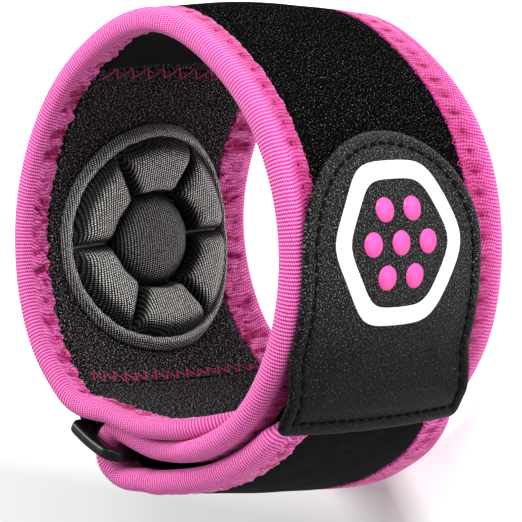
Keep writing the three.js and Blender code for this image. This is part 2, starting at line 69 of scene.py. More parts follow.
# how wide the binding is outside and inside, at the near edge (1) and at the far edge (-1)
FLANGES = {1: (8.3, 7.5), -1: (11.8, 9.2)}
FLANGE_GROWS = (15.0, 60.0)
TIGHT_ANGLE, TIGHT_REACH, TIGHT_BY = 234.0, 13.0, 1.9
GAP = 0.3
FLAP_CORNER = 22.0
CROWN = 2.1
PRESSED, END_PRESSED = 0.88, 0.8
FLAP_END = 308.0
TUCK = (228.0, 251.0)
FOLD, FOLD_RADIUS = 249.0, 4.9
SETTLED = 263.0
HOOK_END = 324.0
FOLD_WIDTH, FOLD_CENTRE = 52.5, 34.2
HOOK_END_WIDTH, HOOK_END_CENTRE = 52.0, 35.4
GATHER_FROM, WIDEN_AFTER = 300.0, 20.0
END_DRAWN_IN, DRAWN_FROM, DRAWN_TO = 4.5, 10.0, 3.0
EASES_OFF, END_THINS = (312.0, 340.0), (311.0, 321.0)
LOOP_CENTRE = np.array([-1.28136, 2.01105]) * MM

# angle, near rim, far rim (shares of the radius), share of the crown
LOOP_ROWS = np.array([
    [0, 1.0, 0.942, 1],
    [30, 1.013, 0.960, 1],
    [60, 1.037, 0.970, 1],
    [90, 1.086, 1.020, 1.32],
    [120, 1.03, 1.006, 1],
    [150, 0.998, 0.972, 1],
    [180, 1.0, 0.974, 1],
    [210, 1.017, 0.946, 1],
    [226, 1.0, 0.922, 0.8],
    [240, 0.982, 0.942, 0.3],
    [FOLD, 0.975, 0.975, 0],
    [256, 0.966, 0.974, 0.05],
    [SETTLED, 0.957, 0.975, 0.5],
    [275, 0.948, 0.985, 0.85],
    [290, 0.966, 0.992, 1],
    [310, 0.992, 0.97, 1],
    [335, 0.996, 0.955, 1],
])
# the folded-back layer: how far it stands off, as shares of the rim, and its crown
OUTER_ROWS = np.array([
    [FOLD, 0, 0, 0],
    [256, 0.34, 0.4, 0.3],
    [SETTLED, 0.5, 0.72, 0.7],
    [270, 0.3, 0.68, 0.9],
    [285, 0.09, 0.42, 1],
    [296, 0.02, 0.38, 1],
    [307, 0.08, 0.48, 1],
    [313, 0.16, 0.34, 1],
    [318, 0.12, 0.1, 1],
    [HOOK_END, 0, 0, 1],
])
NEAR, FAR, BOW = 1, 2, 3


# %% Smooth changes, and reading a table smoothly
def ease(value, start, end):
    t = np.clip((value - start) / (end - start), 0, 1)
    return t * t * (3 - 2 * t)


def lerp(a, b, t):
    return a + (b - a) * t


def pillow(x, soft, sharp):
    """0 at an edge or a seam and 1 from a distance soft on, round like a filled cushion."""
    t = np.clip(x / soft, 0, 1)
    return (1 - (1 - t) ** sharp) ** (1 / sharp)


def read_rows(rows, column, angle):
    """A smooth value between the rows of a table."""
    at, value = rows[:, 0], rows[:, column]
    i = np.clip(np.searchsorted(at, angle, side="right") - 1, 0, len(at) - 2)
    before, after = np.maximum(i - 1, 0), np.minimum(i + 2, len(at) - 1)
    length = at[i + 1] - at[i]
    t = (angle - at[i]) / length
    leaving = (value[i + 1] - value[before]) / (at[i + 1] - at[before]) * length
    arriving = (value[after] - value[i]) / (at[after] - at[i]) * length
    t2, t3 = t * t, t * t * t
    ends = (2 * t3 - 3 * t2 + 1) * value[i] + (3 * t2 - 2 * t3) * value[i + 1]
    return ends + (t3 - 2 * t2 + t) * leaving + (t3 - t2) * arriving


turned_back = LOOP_ROWS - [360, 0, 0, 0]
turned_on = LOOP_ROWS + [360, 0, 0, 0]
closed_rows = np.vstack([turned_back, LOOP_ROWS, turned_on])


def loop_at(column, angle):
    return read_rows(closed_rows, column, np.mod(angle, 360))


pressed_half = RIM_HALF * PRESSED
inner_pitch = 2 * pressed_half + GAP
outer_pitch = pressed_half + RIM_HALF + GAP
fold_reach = LOOP_RADIUS * float(loop_at(NEAR, FOLD)) + FOLD_RADIUS
print("the band turns back at a radius of", round(fold_reach, 2), "mm")


# %% Laying the course
def polar(angle, radius):
    turn = np.radians(angle)
    return np.stack([np.cos(turn) * radius, np.sin(turn) * radius], axis=-1)


def loop_part(angle, tucked, squeeze):
    rims = [polar(angle, LOOP_RADIUS * loop_at(side, angle) - tucked * inner_pitch) for side in (NEAR, FAR)]
    return [angle, *rims, CROWN * loop_at(BOW, angle), squeeze]


def fold_part(share):
    middle = polar(FOLD, fold_reach) + polar(FOLD - 180 + 180 * share, FOLD_RADIUS)
    same = np.ones_like(share)
    return [(FOLD - 360) * same, middle, middle, 0 * same, PRESSED * same]


def outer_part(angle):
    settle = ease(angle, FOLD, SETTLED)
    pitch = lerp(2 * FOLD_RADIUS, outer_pitch, settle)
    rims = []
    for side in (NEAR, FAR):
        loose = 2 * RIM_HALF * read_rows(OUTER_ROWS, side, angle)
        rims.append(polar(angle, LOOP_RADIUS * loop_at(side, angle) + pitch + loose))
    squeeze = lerp(lerp(PRESSED, 1, settle), END_PRESSED, ease(angle, *END_THINS))
    return [angle - 360, *rims, -CROWN * read_rows(OUTER_ROWS, BOW, angle), squeeze]


first = np.linspace(FLAP_END, 180, 129)
second = np.linspace(180, FOLD - 360, 289)[1:]
third = np.linspace(0, 1, 25)[1:-1]
fourth = np.linspace(FOLD, HOOK_END, 73)
tucked = ease(first, *TUCK)
parts = [
    loop_part(first, tucked, lerp(1, PRESSED, tucked)),
    loop_part(second, 0, lerp(PRESSED, 1, ease(second + 360, *EASES_OFF))),
    fold_part(third),
    outer_part(fourth),
]
course_angle, course_near, course_far, course_crown, course_squeeze = (
    np.concatenate([part[i] for part in parts]) for i in range(5))
course_middle = (course_near + course_far) / 2
steps = np.linalg.norm(np.diff(course_middle, axis=0), axis=1)
course_s = np.concatenate([[0], np.cumsum(steps)])
along = np.gradient(course_middle, axis=0)
along /= np.linalg.norm(along, axis=1)[:, None]
course_out = np.column_stack([-along[:, 1], along[:, 0]])
strap_length = course_s[-1]
on_loop = len(first) + len(second)
fold_start = course_s[on_loop - 1]
fold_end = course_s[on_loop + len(third)]
print("strap length", round(strap_length, 1), "mm, fold at", round(fold_start, 1))


# %% Wrapping flat places round the course
def length_at(angle):
    """Where along the strap an angle of the loop is passed for the first time."""
    return np.interp(angle, course_angle[:on_loop][::-1], course_s[:on_loop][::-1])


def at_length(values, s):
    if values.ndim == 1:
        return np.interp(s, course_s, values)
    return np.column_stack([np.interp(s, course_s, values[:, i]) for i in range(2)])


def in_frame(flat_xy, z):
    """Millimetres round the loop's own middle to metres in the shared frame."""
    return np.column_stack([flat_xy * MM + LOOP_CENTRE, z * MM])


def wrap(s, z, n):
    near, far = at_length(course_near, s), at_length(course_far, s)
    out = at_length(course_out, s)
    out /= np.linalg.norm(out, axis=1)[:, None]
    share = z / STRAP_WIDTH
    bow = at_length(course_crown, s) * (1 - (2 * share - 1) ** 2)
    reach = bow + n * at_length(course_squeeze, s)
    return in_frame(lerp(far, near, share[:, None]) + out * reach[:, None], z)


def edges(s):
    """The strap's far and near edge in the flat lay-out, with its gathers."""
    gather = ease(s, float(length_at(GATHER_FROM - 360)), fold_start)
    widen = ease(s, fold_start + WIDEN_AFTER, strap_length)
    width = lerp(lerp(STRAP_WIDTH, FOLD_WIDTH, gather), HOOK_END_WIDTH, widen)
    centre = lerp(lerp(STRAP_WIDTH / 2, FOLD_CENTRE, gather), HOOK_END_CENTRE, widen)
    drawn_in = END_DRAWN_IN * ease(s, strap_length - DRAWN_FROM, strap_length - DRAWN_TO)
    return centre - width / 2, centre + width / 2 - drawn_in


def inset_edges(s, inset):
    """The same edges moved in, with the rounded corners of the free end."""
    far, near = edges(s)
    reach = np.maximum(FLAP_CORNER - s, 0)
    rounding = FLAP_CORNER - np.sqrt(np.maximum((FLAP_CORNER - inset) ** 2 - reach ** 2, 0))
    moved = np.where(s < FLAP_CORNER, rounding, inset)
    return far + moved, near - moved


def flange_width(side, inner, run):
    """How wide the binding is on one face: narrowest inside the near edge, at the buckle."""
    full = lerp(FLANGES[side][0], FLANGES[side][1], inner)
    tight = inner * (side > 0) * np.exp(-((run - length_at(TIGHT_ANGLE)) / TIGHT_REACH) ** 2)
    return lerp(FLANGE, full, ease(run, *FLANGE_GROWS)) - TIGHT_BY * tight


# %% [markdown]
# ## From flat sheet to finished piece
#
# A new piece starts as a grid from bmesh, one unit wide. Extruding it gives it a second
# side. A shape function then says where each of its places goes, and what its flat
# measures are: those are kept as a UV map in millimetres, so that ribs, weave and grain
# follow the cloth round every bend.

# %% Grids and slabs
MERGE_WITHIN = 0.002


def show(name, data):
    """A new object in the scene for a mesh, a curve, a lamp or a camera."""
    made = bpy.data.objects.new(name, data)
    bpy.context.scene.collection.objects.link(made)
    return made


def lay_grid(columns, rows):
    sheet = bmesh.new()
    bmesh.ops.create_grid(sheet, x_segments=columns, y_segments=rows, size=0.5)
    bmesh.ops.translate(sheet, verts=sheet.verts, vec=(0.5, 0.5, 0))
    return sheet


def add_second_face(sheet):
    """Raises a copy of a flat sheet: w is 0 on the inside of the strap and 1 on the outside."""
    raised = bmesh.ops.extrude_face_region(sheet, geom=sheet.faces[:], use_keep_orig=True)
    upper = [item for item in raised["geom"] if isinstance(item, bmesh.types.BMVert)]
    bmesh.ops.translate(sheet, verts=upper, vec=(0, 0, 1))
    return sheet


def lay_slab(columns, rows):
    return add_second_face(lay_grid(columns, rows))


def shape_piece(name, sheet, shape):
    """Moves a flat sheet's vertices to shape(u, v, w) and keeps its flat lay-out as UV."""
    mesh = bpy.data.meshes.new(name)
    sheet.to_mesh(mesh)
    sheet.free()
    flat = np.empty(len(mesh.vertices) * 3, dtype=np.float32)
    mesh.vertices.foreach_get("co", flat)
    u, v, w = flat.reshape(-1, 3).astype(float).T
    place, lay, *detail = shape(np.clip(u, 0, 1), np.clip(v, 0, 1), w)
    mesh.vertices.foreach_set("co", place.astype(np.float32).ravel())
    corner = np.empty(len(mesh.loops), dtype=np.int32)
    mesh.loops.foreach_get("vertex_index", corner)
    for layer_name, values in zip(("lay", "detail"), (lay, *detail)):
        layer = mesh.uv_layers.new(name=layer_name)
        layer.data.foreach_set("uv", values[corner].astype(np.float32).ravel())

    closed = bmesh.new()
    closed.from_mesh(mesh)
    bmesh.ops.remove_doubles(closed, verts=closed.verts, dist=MERGE_WITHIN * MM)
    open_ends = [edge for edge in closed.edges if edge.is_boundary]
    bmesh.ops.holes_fill(closed, edges=open_ends, sides=0)
    bmesh.ops.recalc_face_normals(closed, faces=closed.faces)
    for face in closed.faces:
        face.smooth = True
    closed.to_mesh(mesh)
    open_edges = sum(edge.is_boundary for edge in closed.edges)
    closed.free()
    print(f"{name}: {len(mesh.vertices)} vertices, {len(mesh.polygons)} faces, {open_edges} open edges")
    return show(name, mesh)


def dress(piece, material, slot, *nodes):
    piece.data.materials.clear()
    piece.data.materials.append(material)
    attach(piece, "root")
    if nodes:
        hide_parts(*nodes)


# %% Small uneven waves, the same in each run
dice = np.random.default_rng(12)
knots = dice.uniform(-1, 1, 512)


def uneven(x, shift=0):
    """Smooth noise along a line, about one wave a unit."""
    i = np.floor(x).astype(int)
    before, after = (i + shift) % len(knots), (i + 1 + shift) % len(knots)
    return lerp(knots[before], knots[after], ease(x, i, i + 1))


# %% [markdown]
# ## Materials by nodes
#
# Cloth reads as cloth through three things at once: its colour changes from thread to
# thread, its surface has the relief of the weave, and its light spreads softly. The
# helpers below add one node, or one pattern, at a time. All patterns read the flat
# lay-out in millimetres, so a pitch of 0.7 is 0.7 mm on the real strap.

# %% Node helpers
class Recipe:
    """A material's node tree, with short words for the nodes that the lessons use."""

    def __init__(self, name, roughness, **shader_values):
        self.material = bpy.data.materials.new(name)
        self.material.use_nodes = True
        self.tree = self.material.node_tree
        self.shader = self.tree.nodes["Principled BSDF"]
        self.shader.inputs["Roughness"].default_value = roughness
        for label, value in shader_values.items():
            self.shader.inputs[label.replace("_", " ")].default_value = value

    def add(self, kind, inputs=(), **settings):
        made = self.tree.nodes.new("ShaderNode" + kind)
        for label, value in settings.items():
            setattr(made, label, value)
        for key, value in dict(inputs).items():
            self.join(value, made.inputs[key])
        return made

    def join(self, value, socket):
        if isinstance(value, bpy.types.NodeSocket):
            self.tree.links.new(value, socket)
        else:
            socket.default_value = value

    def lay(self):
        """The flat lay-out: along, across, in millimetres."""
        return self.add("UVMap", uv_map="lay").outputs[0]

    def detail(self):
        """Two measures of the relief, each from 0 to 1, that a shape function kept."""
        return self.split(self.add("UVMap", uv_map="detail").outputs[0])

    def body(self):
        """Object coordinates in millimetres."""
        place = self.add("TexCoord").outputs["Object"]
        return self.add("Mapping", {"Vector": place, "Scale": (1000, 1000, 1000)}).outputs[0]

    def math(self, operation, a, b=0.0, c=0.0):
        return self.add("Math", {0: a, 1: b, 2: c}, operation=operation).outputs[0]

    def plus(self, a, b):
        return self.math("ADD", a, b)

    def times(self, a, b):
        return self.math("MULTIPLY", a, b)

    def split(self, vector):
        return self.add("SeparateXYZ", {0: vector}).outputs

    def waves(self, x, pitch, phase=0.0):
        """0 to 1 and back, once every pitch."""
        turn = self.math("MULTIPLY_ADD", x, 2 * math.pi / pitch, phase)
        return self.math("MULTIPLY_ADD", self.math("SINE", turn), 0.5, 0.5)

    def scaled(self, vector, x, y, z=1.0):
        return self.add("Mapping", {"Vector": vector, "Scale": (x, y, z)}).outputs[0]

    def noise(self, vector, size, detail=2.0, roughness=0.5):
        """Cloudy noise whose blotches are about one size across."""
        inputs = {"Vector": vector, "Scale": 1 / size, "Detail": detail, "Roughness": roughness}
        return self.add("TexNoise", inputs).outputs["Fac"]

    def cells(self, vector, size, feature="F1", output="Distance"):
        inputs = {"Vector": vector, "Scale": 1 / size}
        return self.add("TexVoronoi", inputs, feature=feature).outputs[output]

    def ramp(self, value, *stops):
        """Colours or greys at places from 0 to 1."""
        made = self.add("ValToRGB", {0: value})
        band = made.color_ramp
        while len(band.elements) < len(stops):
            band.elements.new(0.5)
        for element, (place, colour) in zip(band.elements, stops):
            element.position = place
            grey = isinstance(colour, (int, float))
            element.color = (colour, colour, colour, 1) if grey else (*colour, 1)
        return made.outputs[0]

    def blend(self, share, a, b, mode="MIX"):
        made = self.add("Mix", data_type="RGBA", blend_type=mode)
        self.join(share, made.inputs[0])
        for value, socket in ((a, made.inputs[6]), (b, made.inputs[7])):
            plain = isinstance(value, tuple) and len(value) == 3
            self.join((*value, 1) if plain else value, socket)
        return made.outputs[2]

    def tinted(self, a, b):
        return self.blend(1.0, a, b, "MULTIPLY")

    def between(self, value, low, high, start=0.0, end=1.0):
        """From low to high as the value goes from start to end."""
        return self.add("MapRange", {0: value, 1: start, 2: end, 3: low, 4: high}).outputs[0]

    def colour(self, value):
        self.join(value, self.shader.inputs["Base Color"])

    def roughness(self, value, low, high):
        """Roughness from low to high as the value goes from 0 to 1."""
        self.join(self.between(value, low, high), self.shader.inputs["Roughness"])

    def relief(self, *layers):
        """Bumps laid on each other: (height, millimetres high, strength)."""
        normal = None
        for height, depth, strength in layers:
            inputs = {"Height": height, "Distance": depth * MM, "Strength": strength}
            if normal:
                inputs["Normal"] = normal
            normal = self.add("Bump", inputs).outputs[0]
        self.join(normal, self.shader.inputs["Normal"])


# %% [markdown]
# ## The camera and the light
#
# The photograph is a studio shot with a long lens, looking into the loop from its open
# side. The strap lies on its side, so the camera looks down on it by forty degrees, and it
# is rolled so that the top of the picture is the +Y side. A broad soft lamp stands above
# and in front, a second one shines in from the left, and a weaker one fills in from the
# right.

# %% Camera
VIEW_TURN, VIEW_LIFT = math.radians(50), math.radians(5.13)
LENS, SENSOR = 307.3, 36.0
SHIFT = (0.0048, -0.0362)
toward = Vector((
    math.cos(VIEW_LIFT) * math.sin(VIEW_TURN),
    math.sin(VIEW_LIFT),
    math.cos(VIEW_LIFT) * math.cos(VIEW_TURN),
))
right = Vector((math.cos(VIEW_TURN), 0, -math.sin(VIEW_TURN)))
up = toward.cross(right)
loop_middle = Vector((*LOOP_CENTRE, STRAP_WIDTH / 2 * MM))
photo_lens = bpy.data.cameras.new("photo_lens")
photo_lens.sensor_fit = "HORIZONTAL"
photo_lens.sensor_width = SENSOR
photo_lens.lens = LENS
photo_lens.shift_x, photo_lens.shift_y = SHIFT
photo_lens.clip_start = 0.05
photo_lens.clip_end = 20
camera = show("photo_camera", photo_lens)
turn = Matrix((right, up, toward)).transposed().to_4x4()
camera.matrix_world = Matrix.Translation(loop_middle + toward) @ turn
bpy.context.scene.camera = camera
print("camera at", tuple(round(x, 3) for x in camera.matrix_world.translation))


# %% Lamps and the light of the room
LAMP_DISTANCE = 0.8
ROOM_LIGHT = 0.5


def soft_lamp(name, across, above, towards, size, power):
    """An area lamp placed by picture directions: right, up and towards the camera."""
    data = bpy.data.lights.new(name, "AREA")
    data.shape = "DISK"
    data.size = size
    data.energy = power
    direction = (right * across + up * above + toward * towards).normalized()
    facing = direction.to_track_quat("Z", "Y").to_matrix().to_4x4()
    show(name, data).matrix_world = Matrix.Translation(loop_middle + direction * LAMP_DISTANCE) @ facing


soft_lamp("key_lamp", across=-0.1, above=1.0, towards=0.9, size=0.5, power=6.0)
soft_lamp("left_lamp", across=-1.0, above=0.25, towards=0.0, size=0.4, power=6.0)
soft_lamp("fill_lamp", across=0.6, above=-0.1, towards=1.0, size=0.6, power=2.5)
room = bpy.data.worlds.new("studio_room")
room.use_nodes = True
room.node_tree.nodes["Background"].inputs[0].default_value = (1, 1, 1, 1)
room.node_tree.nodes["Background"].inputs[1].default_value = ROOM_LIGHT
bpy.context.scene.world = room
bpy.context.scene.view_settings.view_transform = "Standard"

# %% The pale floor
FLOOR_HALF = 2.5
floor_sheet = bmesh.new()
bmesh.ops.create_grid(floor_sheet, x_segments=8, y_segments=8, size=FLOOR_HALF)
floor_mesh = bpy.data.meshes.new("floor")
floor_sheet.to_mesh(floor_mesh)
floor_sheet.free()
floor = show("floor", floor_mesh)

# the paper glows, most strongly inside the loop: a painted light. In front of the loop it is greyer and
# glows less: a painted soft shadow, which fades towards +X
SHADE_UNIT, BESIDE_FROM, BESIDE_RISE = 100.0, 5.0, 0.012
paper = Recipe("studio_paper", 0.9, Specular_IOR_Level=0.1, Emission_Color=(1, 1, 1, 1))
fibres = paper.ramp(paper.noise(paper.body(), 40), (0.3, 0.93), (0.7, 0.96))
paper_x, paper_y, _ = paper.split(paper.body())
from_middle = paper.math("SQRT", paper.plus(paper.times(paper_x, paper_x), paper.times(paper_y, paper_y)))
# painted glow: the paper emits light, brightest within the loop
painted_glow_inside = paper.ramp(paper.math("DIVIDE", from_middle, SHADE_UNIT), (0.42, 1.6), (0.50, 0.55))
past_middle = paper.math("MAXIMUM", paper.math("SUBTRACT", paper_x, BESIDE_FROM), 0.0)
beside = paper.times(past_middle, BESIDE_RISE)
from_front = paper.math("MULTIPLY_ADD", paper_y, 1 / SHADE_UNIT, paper.plus(beside, 1.0))
fading = paper.ramp(from_front, (0.44, 0.0), (0.60, 1.0))
soft_shadow = paper.ramp(from_front, (0.32, 0.62), (0.48, 1.0))
paper.colour(paper.tinted(fibres, soft_shadow))
paper.join(paper.times(painted_glow_inside, fading), paper.shader.inputs["Emission Strength"])
floor_mesh.materials.append(paper.material)

# %% [markdown]
# ## The band
#
# The band is neoprene foam with cloth bonded to both faces: loop pile outside, where the
# hooks of the tab grip, and brushed fleece or a smooth lining inside. It is one long
# sheet with a rounded free end, thin under its edging and full between, so the pile
# stands a little proud of the seam. A solidified plane would do for the thickness, but
# not for the swell at the seam, so the slab's two faces are shaped by how far each place
# is from the edge.

# %% The loop pile
UPPER_SEAM = (125.1, 130.0)
LOWER_SEAM = (225.3, 231.0)

pile = Recipe("loop_pile", 0.95, Specular_IOR_Level=0.0)
flat = pile.lay()
tufts = pile.cells(pile.scaled(flat, 1, 0.8), 0.42)
fuzz = pile.noise(flat, 0.38, detail=2, roughness=0.8)
pile.colour(pile.ramp(fuzz, (0.50, (0.0012, 0.0010, 0.0012)), (0.62, (0.0065, 0.0058, 0.0062)),
                      (0.74, (0.32, 0.30, 0.295))))
pile.relief((pile.noise(flat, 6), 0.5, 0.3), (tufts, 0.28, 0.9), (fuzz, 0.25, 0.9))

# %% The brushed fleece
fleece = Recipe("brushed_fleece", 0.95, Specular_IOR_Level=0.0)
flat = fleece.lay()
nap = fleece.noise(fleece.scaled(flat, 1, 0.75), 0.35, detail=2, roughness=0.8)
fleece.colour(fleece.ramp(nap, (0.47, (0.0028, 0.0024, 0.0028)), (0.58, (0.027, 0.024, 0.026)),
                          (0.73, (0.62, 0.58, 0.57))))
fleece.relief((fleece.noise(flat, 5), 0.5, 0.3), (nap, 0.35, 0.9))

# %% The smooth lining
lining = Recipe("smooth_lining", 0.85, Specular_IOR_Level=0.04)
flat = lining.lay()
streaks = lining.noise(lining.scaled(flat, 1.0, 0.25), 0.8, detail=3)
lining.colour(lining.ramp(streaks, (0.35, (0.0026, 0.0024, 0.0024)), (0.65, (0.0075, 0.0070, 0.0068))))
lining.relief((lining.noise(flat, 9), 0.5, 0.25), (lining.waves(lining.split(flat)[1], 0.45), 0.03, 0.35),
              (lining.noise(flat, 0.3), 0.05, 0.3))

# %% Shaping the band
BAND_INSET, BAND_START = 2.0, 1.3
CORE_HALF, SWELL = 1.3, 0.22
# rows lie closer near the edge: share of the rows, depth at most, share of half the width
ROW_SHARE = np.array([0, 0.05, 0.15, 0.28, 0.5])
ROW_DEPTH = np.array([0, 4.6, 7.8, 12.0])[:, None]
DEPTH_SHARE = np.array([0, 0.35, 0.6, 0.8])[:, None]
# columns lie closer where the band folds round the buckle's bar
COLUMN_SHARE = np.array([0, 0.06, 0.70, 0.78, 1.0])
COLUMN_AT = np.array([BAND_START, FLAP_CORNER, fold_start - 3, fold_end + 3, strap_length])


def row_depth(side, half_width):
    """How far in from its edge a row of the band lies."""
    marks = np.vstack([np.minimum(ROW_DEPTH, half_width * DEPTH_SHARE), half_width])
    k = np.clip(np.searchsorted(ROW_SHARE, side, side="right") - 1, 0, 3)
    t = (side - ROW_SHARE[k]) / (ROW_SHARE[k + 1] - ROW_SHARE[k])
    place = np.arange(len(side))
    return lerp(marks[k, place], marks[k + 1, place], t)


def shape_band(u, v, w):
    s = np.interp(u, COLUMN_SHARE, COLUMN_AT)
    far, near = inset_edges(s, BAND_INSET)
    depth = row_depth(np.minimum(v, 1 - v), (near - far) / 2)
    z = np.where(v < 0.5, far + depth, near - depth)
    inner = (w < 0.5).astype(float)
    flange = np.where(v < 0.5, flange_width(-1, inner, s), flange_width(1, inner, s))
    edge = np.minimum(depth + BAND_INSET, s) - flange
    full = ease(edge, -1.4, 0.4)
    swell = SWELL * ease(edge, 0, 2.5) * (1 - 0.6 * ease(edge, 3, 11))
    ripple = 0.10 * uneven(s / 9 + 0.6 * np.sin(z / 7), 40) + 0.06 * uneven(z / 6 + s / 15, 90)
    half = lerp(CORE_HALF, FACE_HALF, full) + full * (swell + ripple)
    n = np.where(w > 0.5, half, -half)
    return wrap(s, z, n), np.column_stack([s, z])


band = shape_piece("neoprene_band", lay_slab(420, 52), shape_band)
dress(band, pile.material, "pile", "band_body")
band.data.materials.append(fleece.material)
band.data.materials.append(lining.material)


# %% Two cloths on the inside
PILE_CLOTH, FLEECE_CLOTH, LINING_CLOTH = range(3)
FLEECE_TO = float(length_at(UPPER_SEAM[0] - 1.4)) - 1


def mark_linings(mesh):
    """The inner face is fleece up to the upper seam, and smooth lining past it."""
    lay = np.empty(len(mesh.loops) * 2, dtype=np.float32)
    mesh.uv_layers["lay"].data.foreach_get("uv", lay)
    along_s = lay.reshape(-1, 2)[:, 0]
    for polygon in mesh.polygons:
        s = along_s[polygon.loop_start]
        out = at_length(course_out, np.array([s]))[0]
        inside = polygon.normal.x * out[0] + polygon.normal.y * out[1] < 0
        if inside:
            polygon.material_index = FLEECE_CLOTH if s < FLEECE_TO else LINING_CLOTH


mark_linings(band.data)
cloths = [polygon.material_index for polygon in band.data.polygons]
print("band faces of each cloth:", [cloths.count(i) for i in (PILE_CLOTH, FLEECE_CLOTH, LINING_CLOTH)])

# %% [markdown]
# ## The ribbed binding
#
# A folded tape of ribbed knit wraps both edges and the rounded end. Its ribs run round
# the edge, close together, and stand out because the tape is sewn on under stretch. They
# are real relief here: the tube round the rim has four rows of faces a rib. Where the
# tape is caught by the zigzag seam it puckers, with a small hole at each needle point.

# %% The pink knit
knit = Recipe("ribbed_knit", 0.6, Sheen_Weight=0.3, Sheen_Roughness=0.3,
              Sheen_Tint=(1.0, 0.78, 0.92, 1), Specular_IOR_Level=0.25)
RIB_PITCH = 0.80
flat = knit.lay()
run, round_rim, _ = knit.split(flat)
raised, on_flange, _ = knit.detail()
wander = knit.times(on_flange, knit.noise(flat, 1.8))
bent_run = knit.plus(run, knit.times(wander, 2 * RIB_PITCH))
rib = knit.math("POWER", knit.waves(bent_run, RIB_PITCH, math.pi / 2), 0.55)
stitch = knit.waves(round_rim, 0.46, knit.times(run, math.pi / RIB_PITCH))
grain = knit.noise(flat, 0.4, detail=2)
threads = knit.plus(knit.times(rib, knit.between(on_flange, 0.46, 0.38)), knit.times(stitch, 0.32))
tone = knit.plus(threads, knit.times(grain, 0.34))
# the knit's colour from ribs, stitches and grain: the grain is the knit's own tone, the dark rib valleys
# are painted shade and the pale crests a painted highlight
pinks_and_rib_shade = knit.ramp(tone, (0.32, (0.24, 0.002, 0.070)), (0.47, (0.66, 0.034, 0.28)),
                  (0.66, (0.75, 0.125, 0.44)), (0.92, (0.84, 0.43, 0.73)))
# painted shade: darker where the tape sinks at puckers and needle holes, full colour where it stands up
painted_pucker_shade = knit.ramp(raised, (0.14, (0.50, 0.02, 0.24)), (0.42, (0.84, 0.50, 0.72)), (0.62, (1.0, 1.0, 1.0)))
# painted shade: the outer flange is darker than the rim and the inner flange of the same tape
outside = knit.between(round_rim, 0.85, 0.25, start=8.0, end=12.0)
painted_flange_shade = knit.blend(knit.times(on_flange, outside), (1.0, 1.0, 1.0), (0.64, 0.30, 0.52))
knit.colour(knit.tinted(knit.tinted(pinks_and_rib_shade, painted_pucker_shade), painted_flange_shade))
knit.relief((rib, 0.16, 0.6), (stitch, 0.07, 0.6), (grain, 0.08, 0.5))

# %% The tape's path along the edges
TAPE_STEPS = 4
# half the free end's straight stretch, its corner, and the edge up to the strap's other end
path_length = STRAP_WIDTH / 2 - FLAP_CORNER + FLAP_CORNER * math.pi / 2 + strap_length - FLAP_CORNER
print("tape path", round(path_length, 1), "mm a side,", round(path_length / RIB_PITCH), "ribs")


def edge_path(path, side):
    """Place on the edge and the way in from it, for a distance run from the flap's end.

    The path starts in the middle of the free end, rounds its corner and follows the near
    edge (side 1) or the far edge (side -1) to the strap's other end.
    """
    far0, near0 = edges(np.zeros(1))
    middle, edge0 = (far0[0] + near0[0]) / 2, (near0[0] if side > 0 else far0[0])
    straight = abs(edge0 - middle) - FLAP_CORNER
    corner = FLAP_CORNER * math.pi / 2
    turn = np.clip((path - straight) / corner, 0, 1) * math.pi / 2
    s = np.maximum(path - straight - corner, 0) + FLAP_CORNER * (1 - np.cos(turn))
    far, near = edges(s)
    edge = near if side > 0 else far
    z = edge - side * FLAP_CORNER * (1 - np.sin(turn))
    z = np.where(path < straight, middle + side * path, z)
    return s, z, np.cos(turn), -side * np.sin(turn)


# %% The tape's section, from flange to flange round the rim
ZIGZAG_PITCH = 4.6
NEEDLE_IN = 2.3
NEEDLE_DEPTH = FLANGE - NEEDLE_IN
ZIGZAG_SHIFT = {1: 0.0, -1: 0.3}
section_depth = np.array([FLANGE, 7.95, 7.5, 7.0, 6.5, 6.1, 5.7, 5.3, 4.8, 4.3, 3.8, 3.2,
                          2.6, 1.9, 1.2, 0.62, 0.22, 0.0])


def tape_half(depth):
    """Half the thickness at a depth in from the rim: a tube, then a flange pressed flat."""
    tube = RIM_HALF * pillow(depth, RIM_HALF, 2.3)
    waist = 0.16 * ease(depth, RIM_HALF, 4.2)
    return tube - waist - 0.12 * ease(depth, 5, 7.8)


half_section = np.column_stack([section_depth, tape_half(section_depth)])
half_section[0] = (FLANGE, FACE_HALF - 0.35)
outer_side = half_section[:-1]
inner_side = half_section[:-1][::-1] * [1, -1]
# the tape's wrong side, which lies on the band
hidden = np.array([[7.2, -1.5], [2.2, -1.45], [2.2, 1.45], [7.2, 1.5], half_section[0]])
tape_section = np.vstack([outer_side, [[0, 0]], inner_side, hidden])
section_run = np.concatenate([[0], np.cumsum(np.linalg.norm(np.diff(tape_section, axis=0), axis=1))])
forward = np.gradient(tape_section, axis=0)
forward /= np.linalg.norm(forward, axis=1)[:, None]
section_out = np.column_stack([forward[:, 1], -forward[:, 0]])
visible = np.ones(len(tape_section))
visible[-len(hidden):] = 0
visible[[0, 2 * len(outer_side)]] = 0


# %% Ribs, puckers and needle holes
RIM_RIB, OUTER_RIB, INNER_RIB = 0.16, 0.09, 0.03
HOLE_DEPTH, HOLE_RADIUS = 0.36, 0.40
PLEAT_DEPTH, PLEAT_REACH, PLEATS = 0.30, 1.2, 6
PULL = 0.10


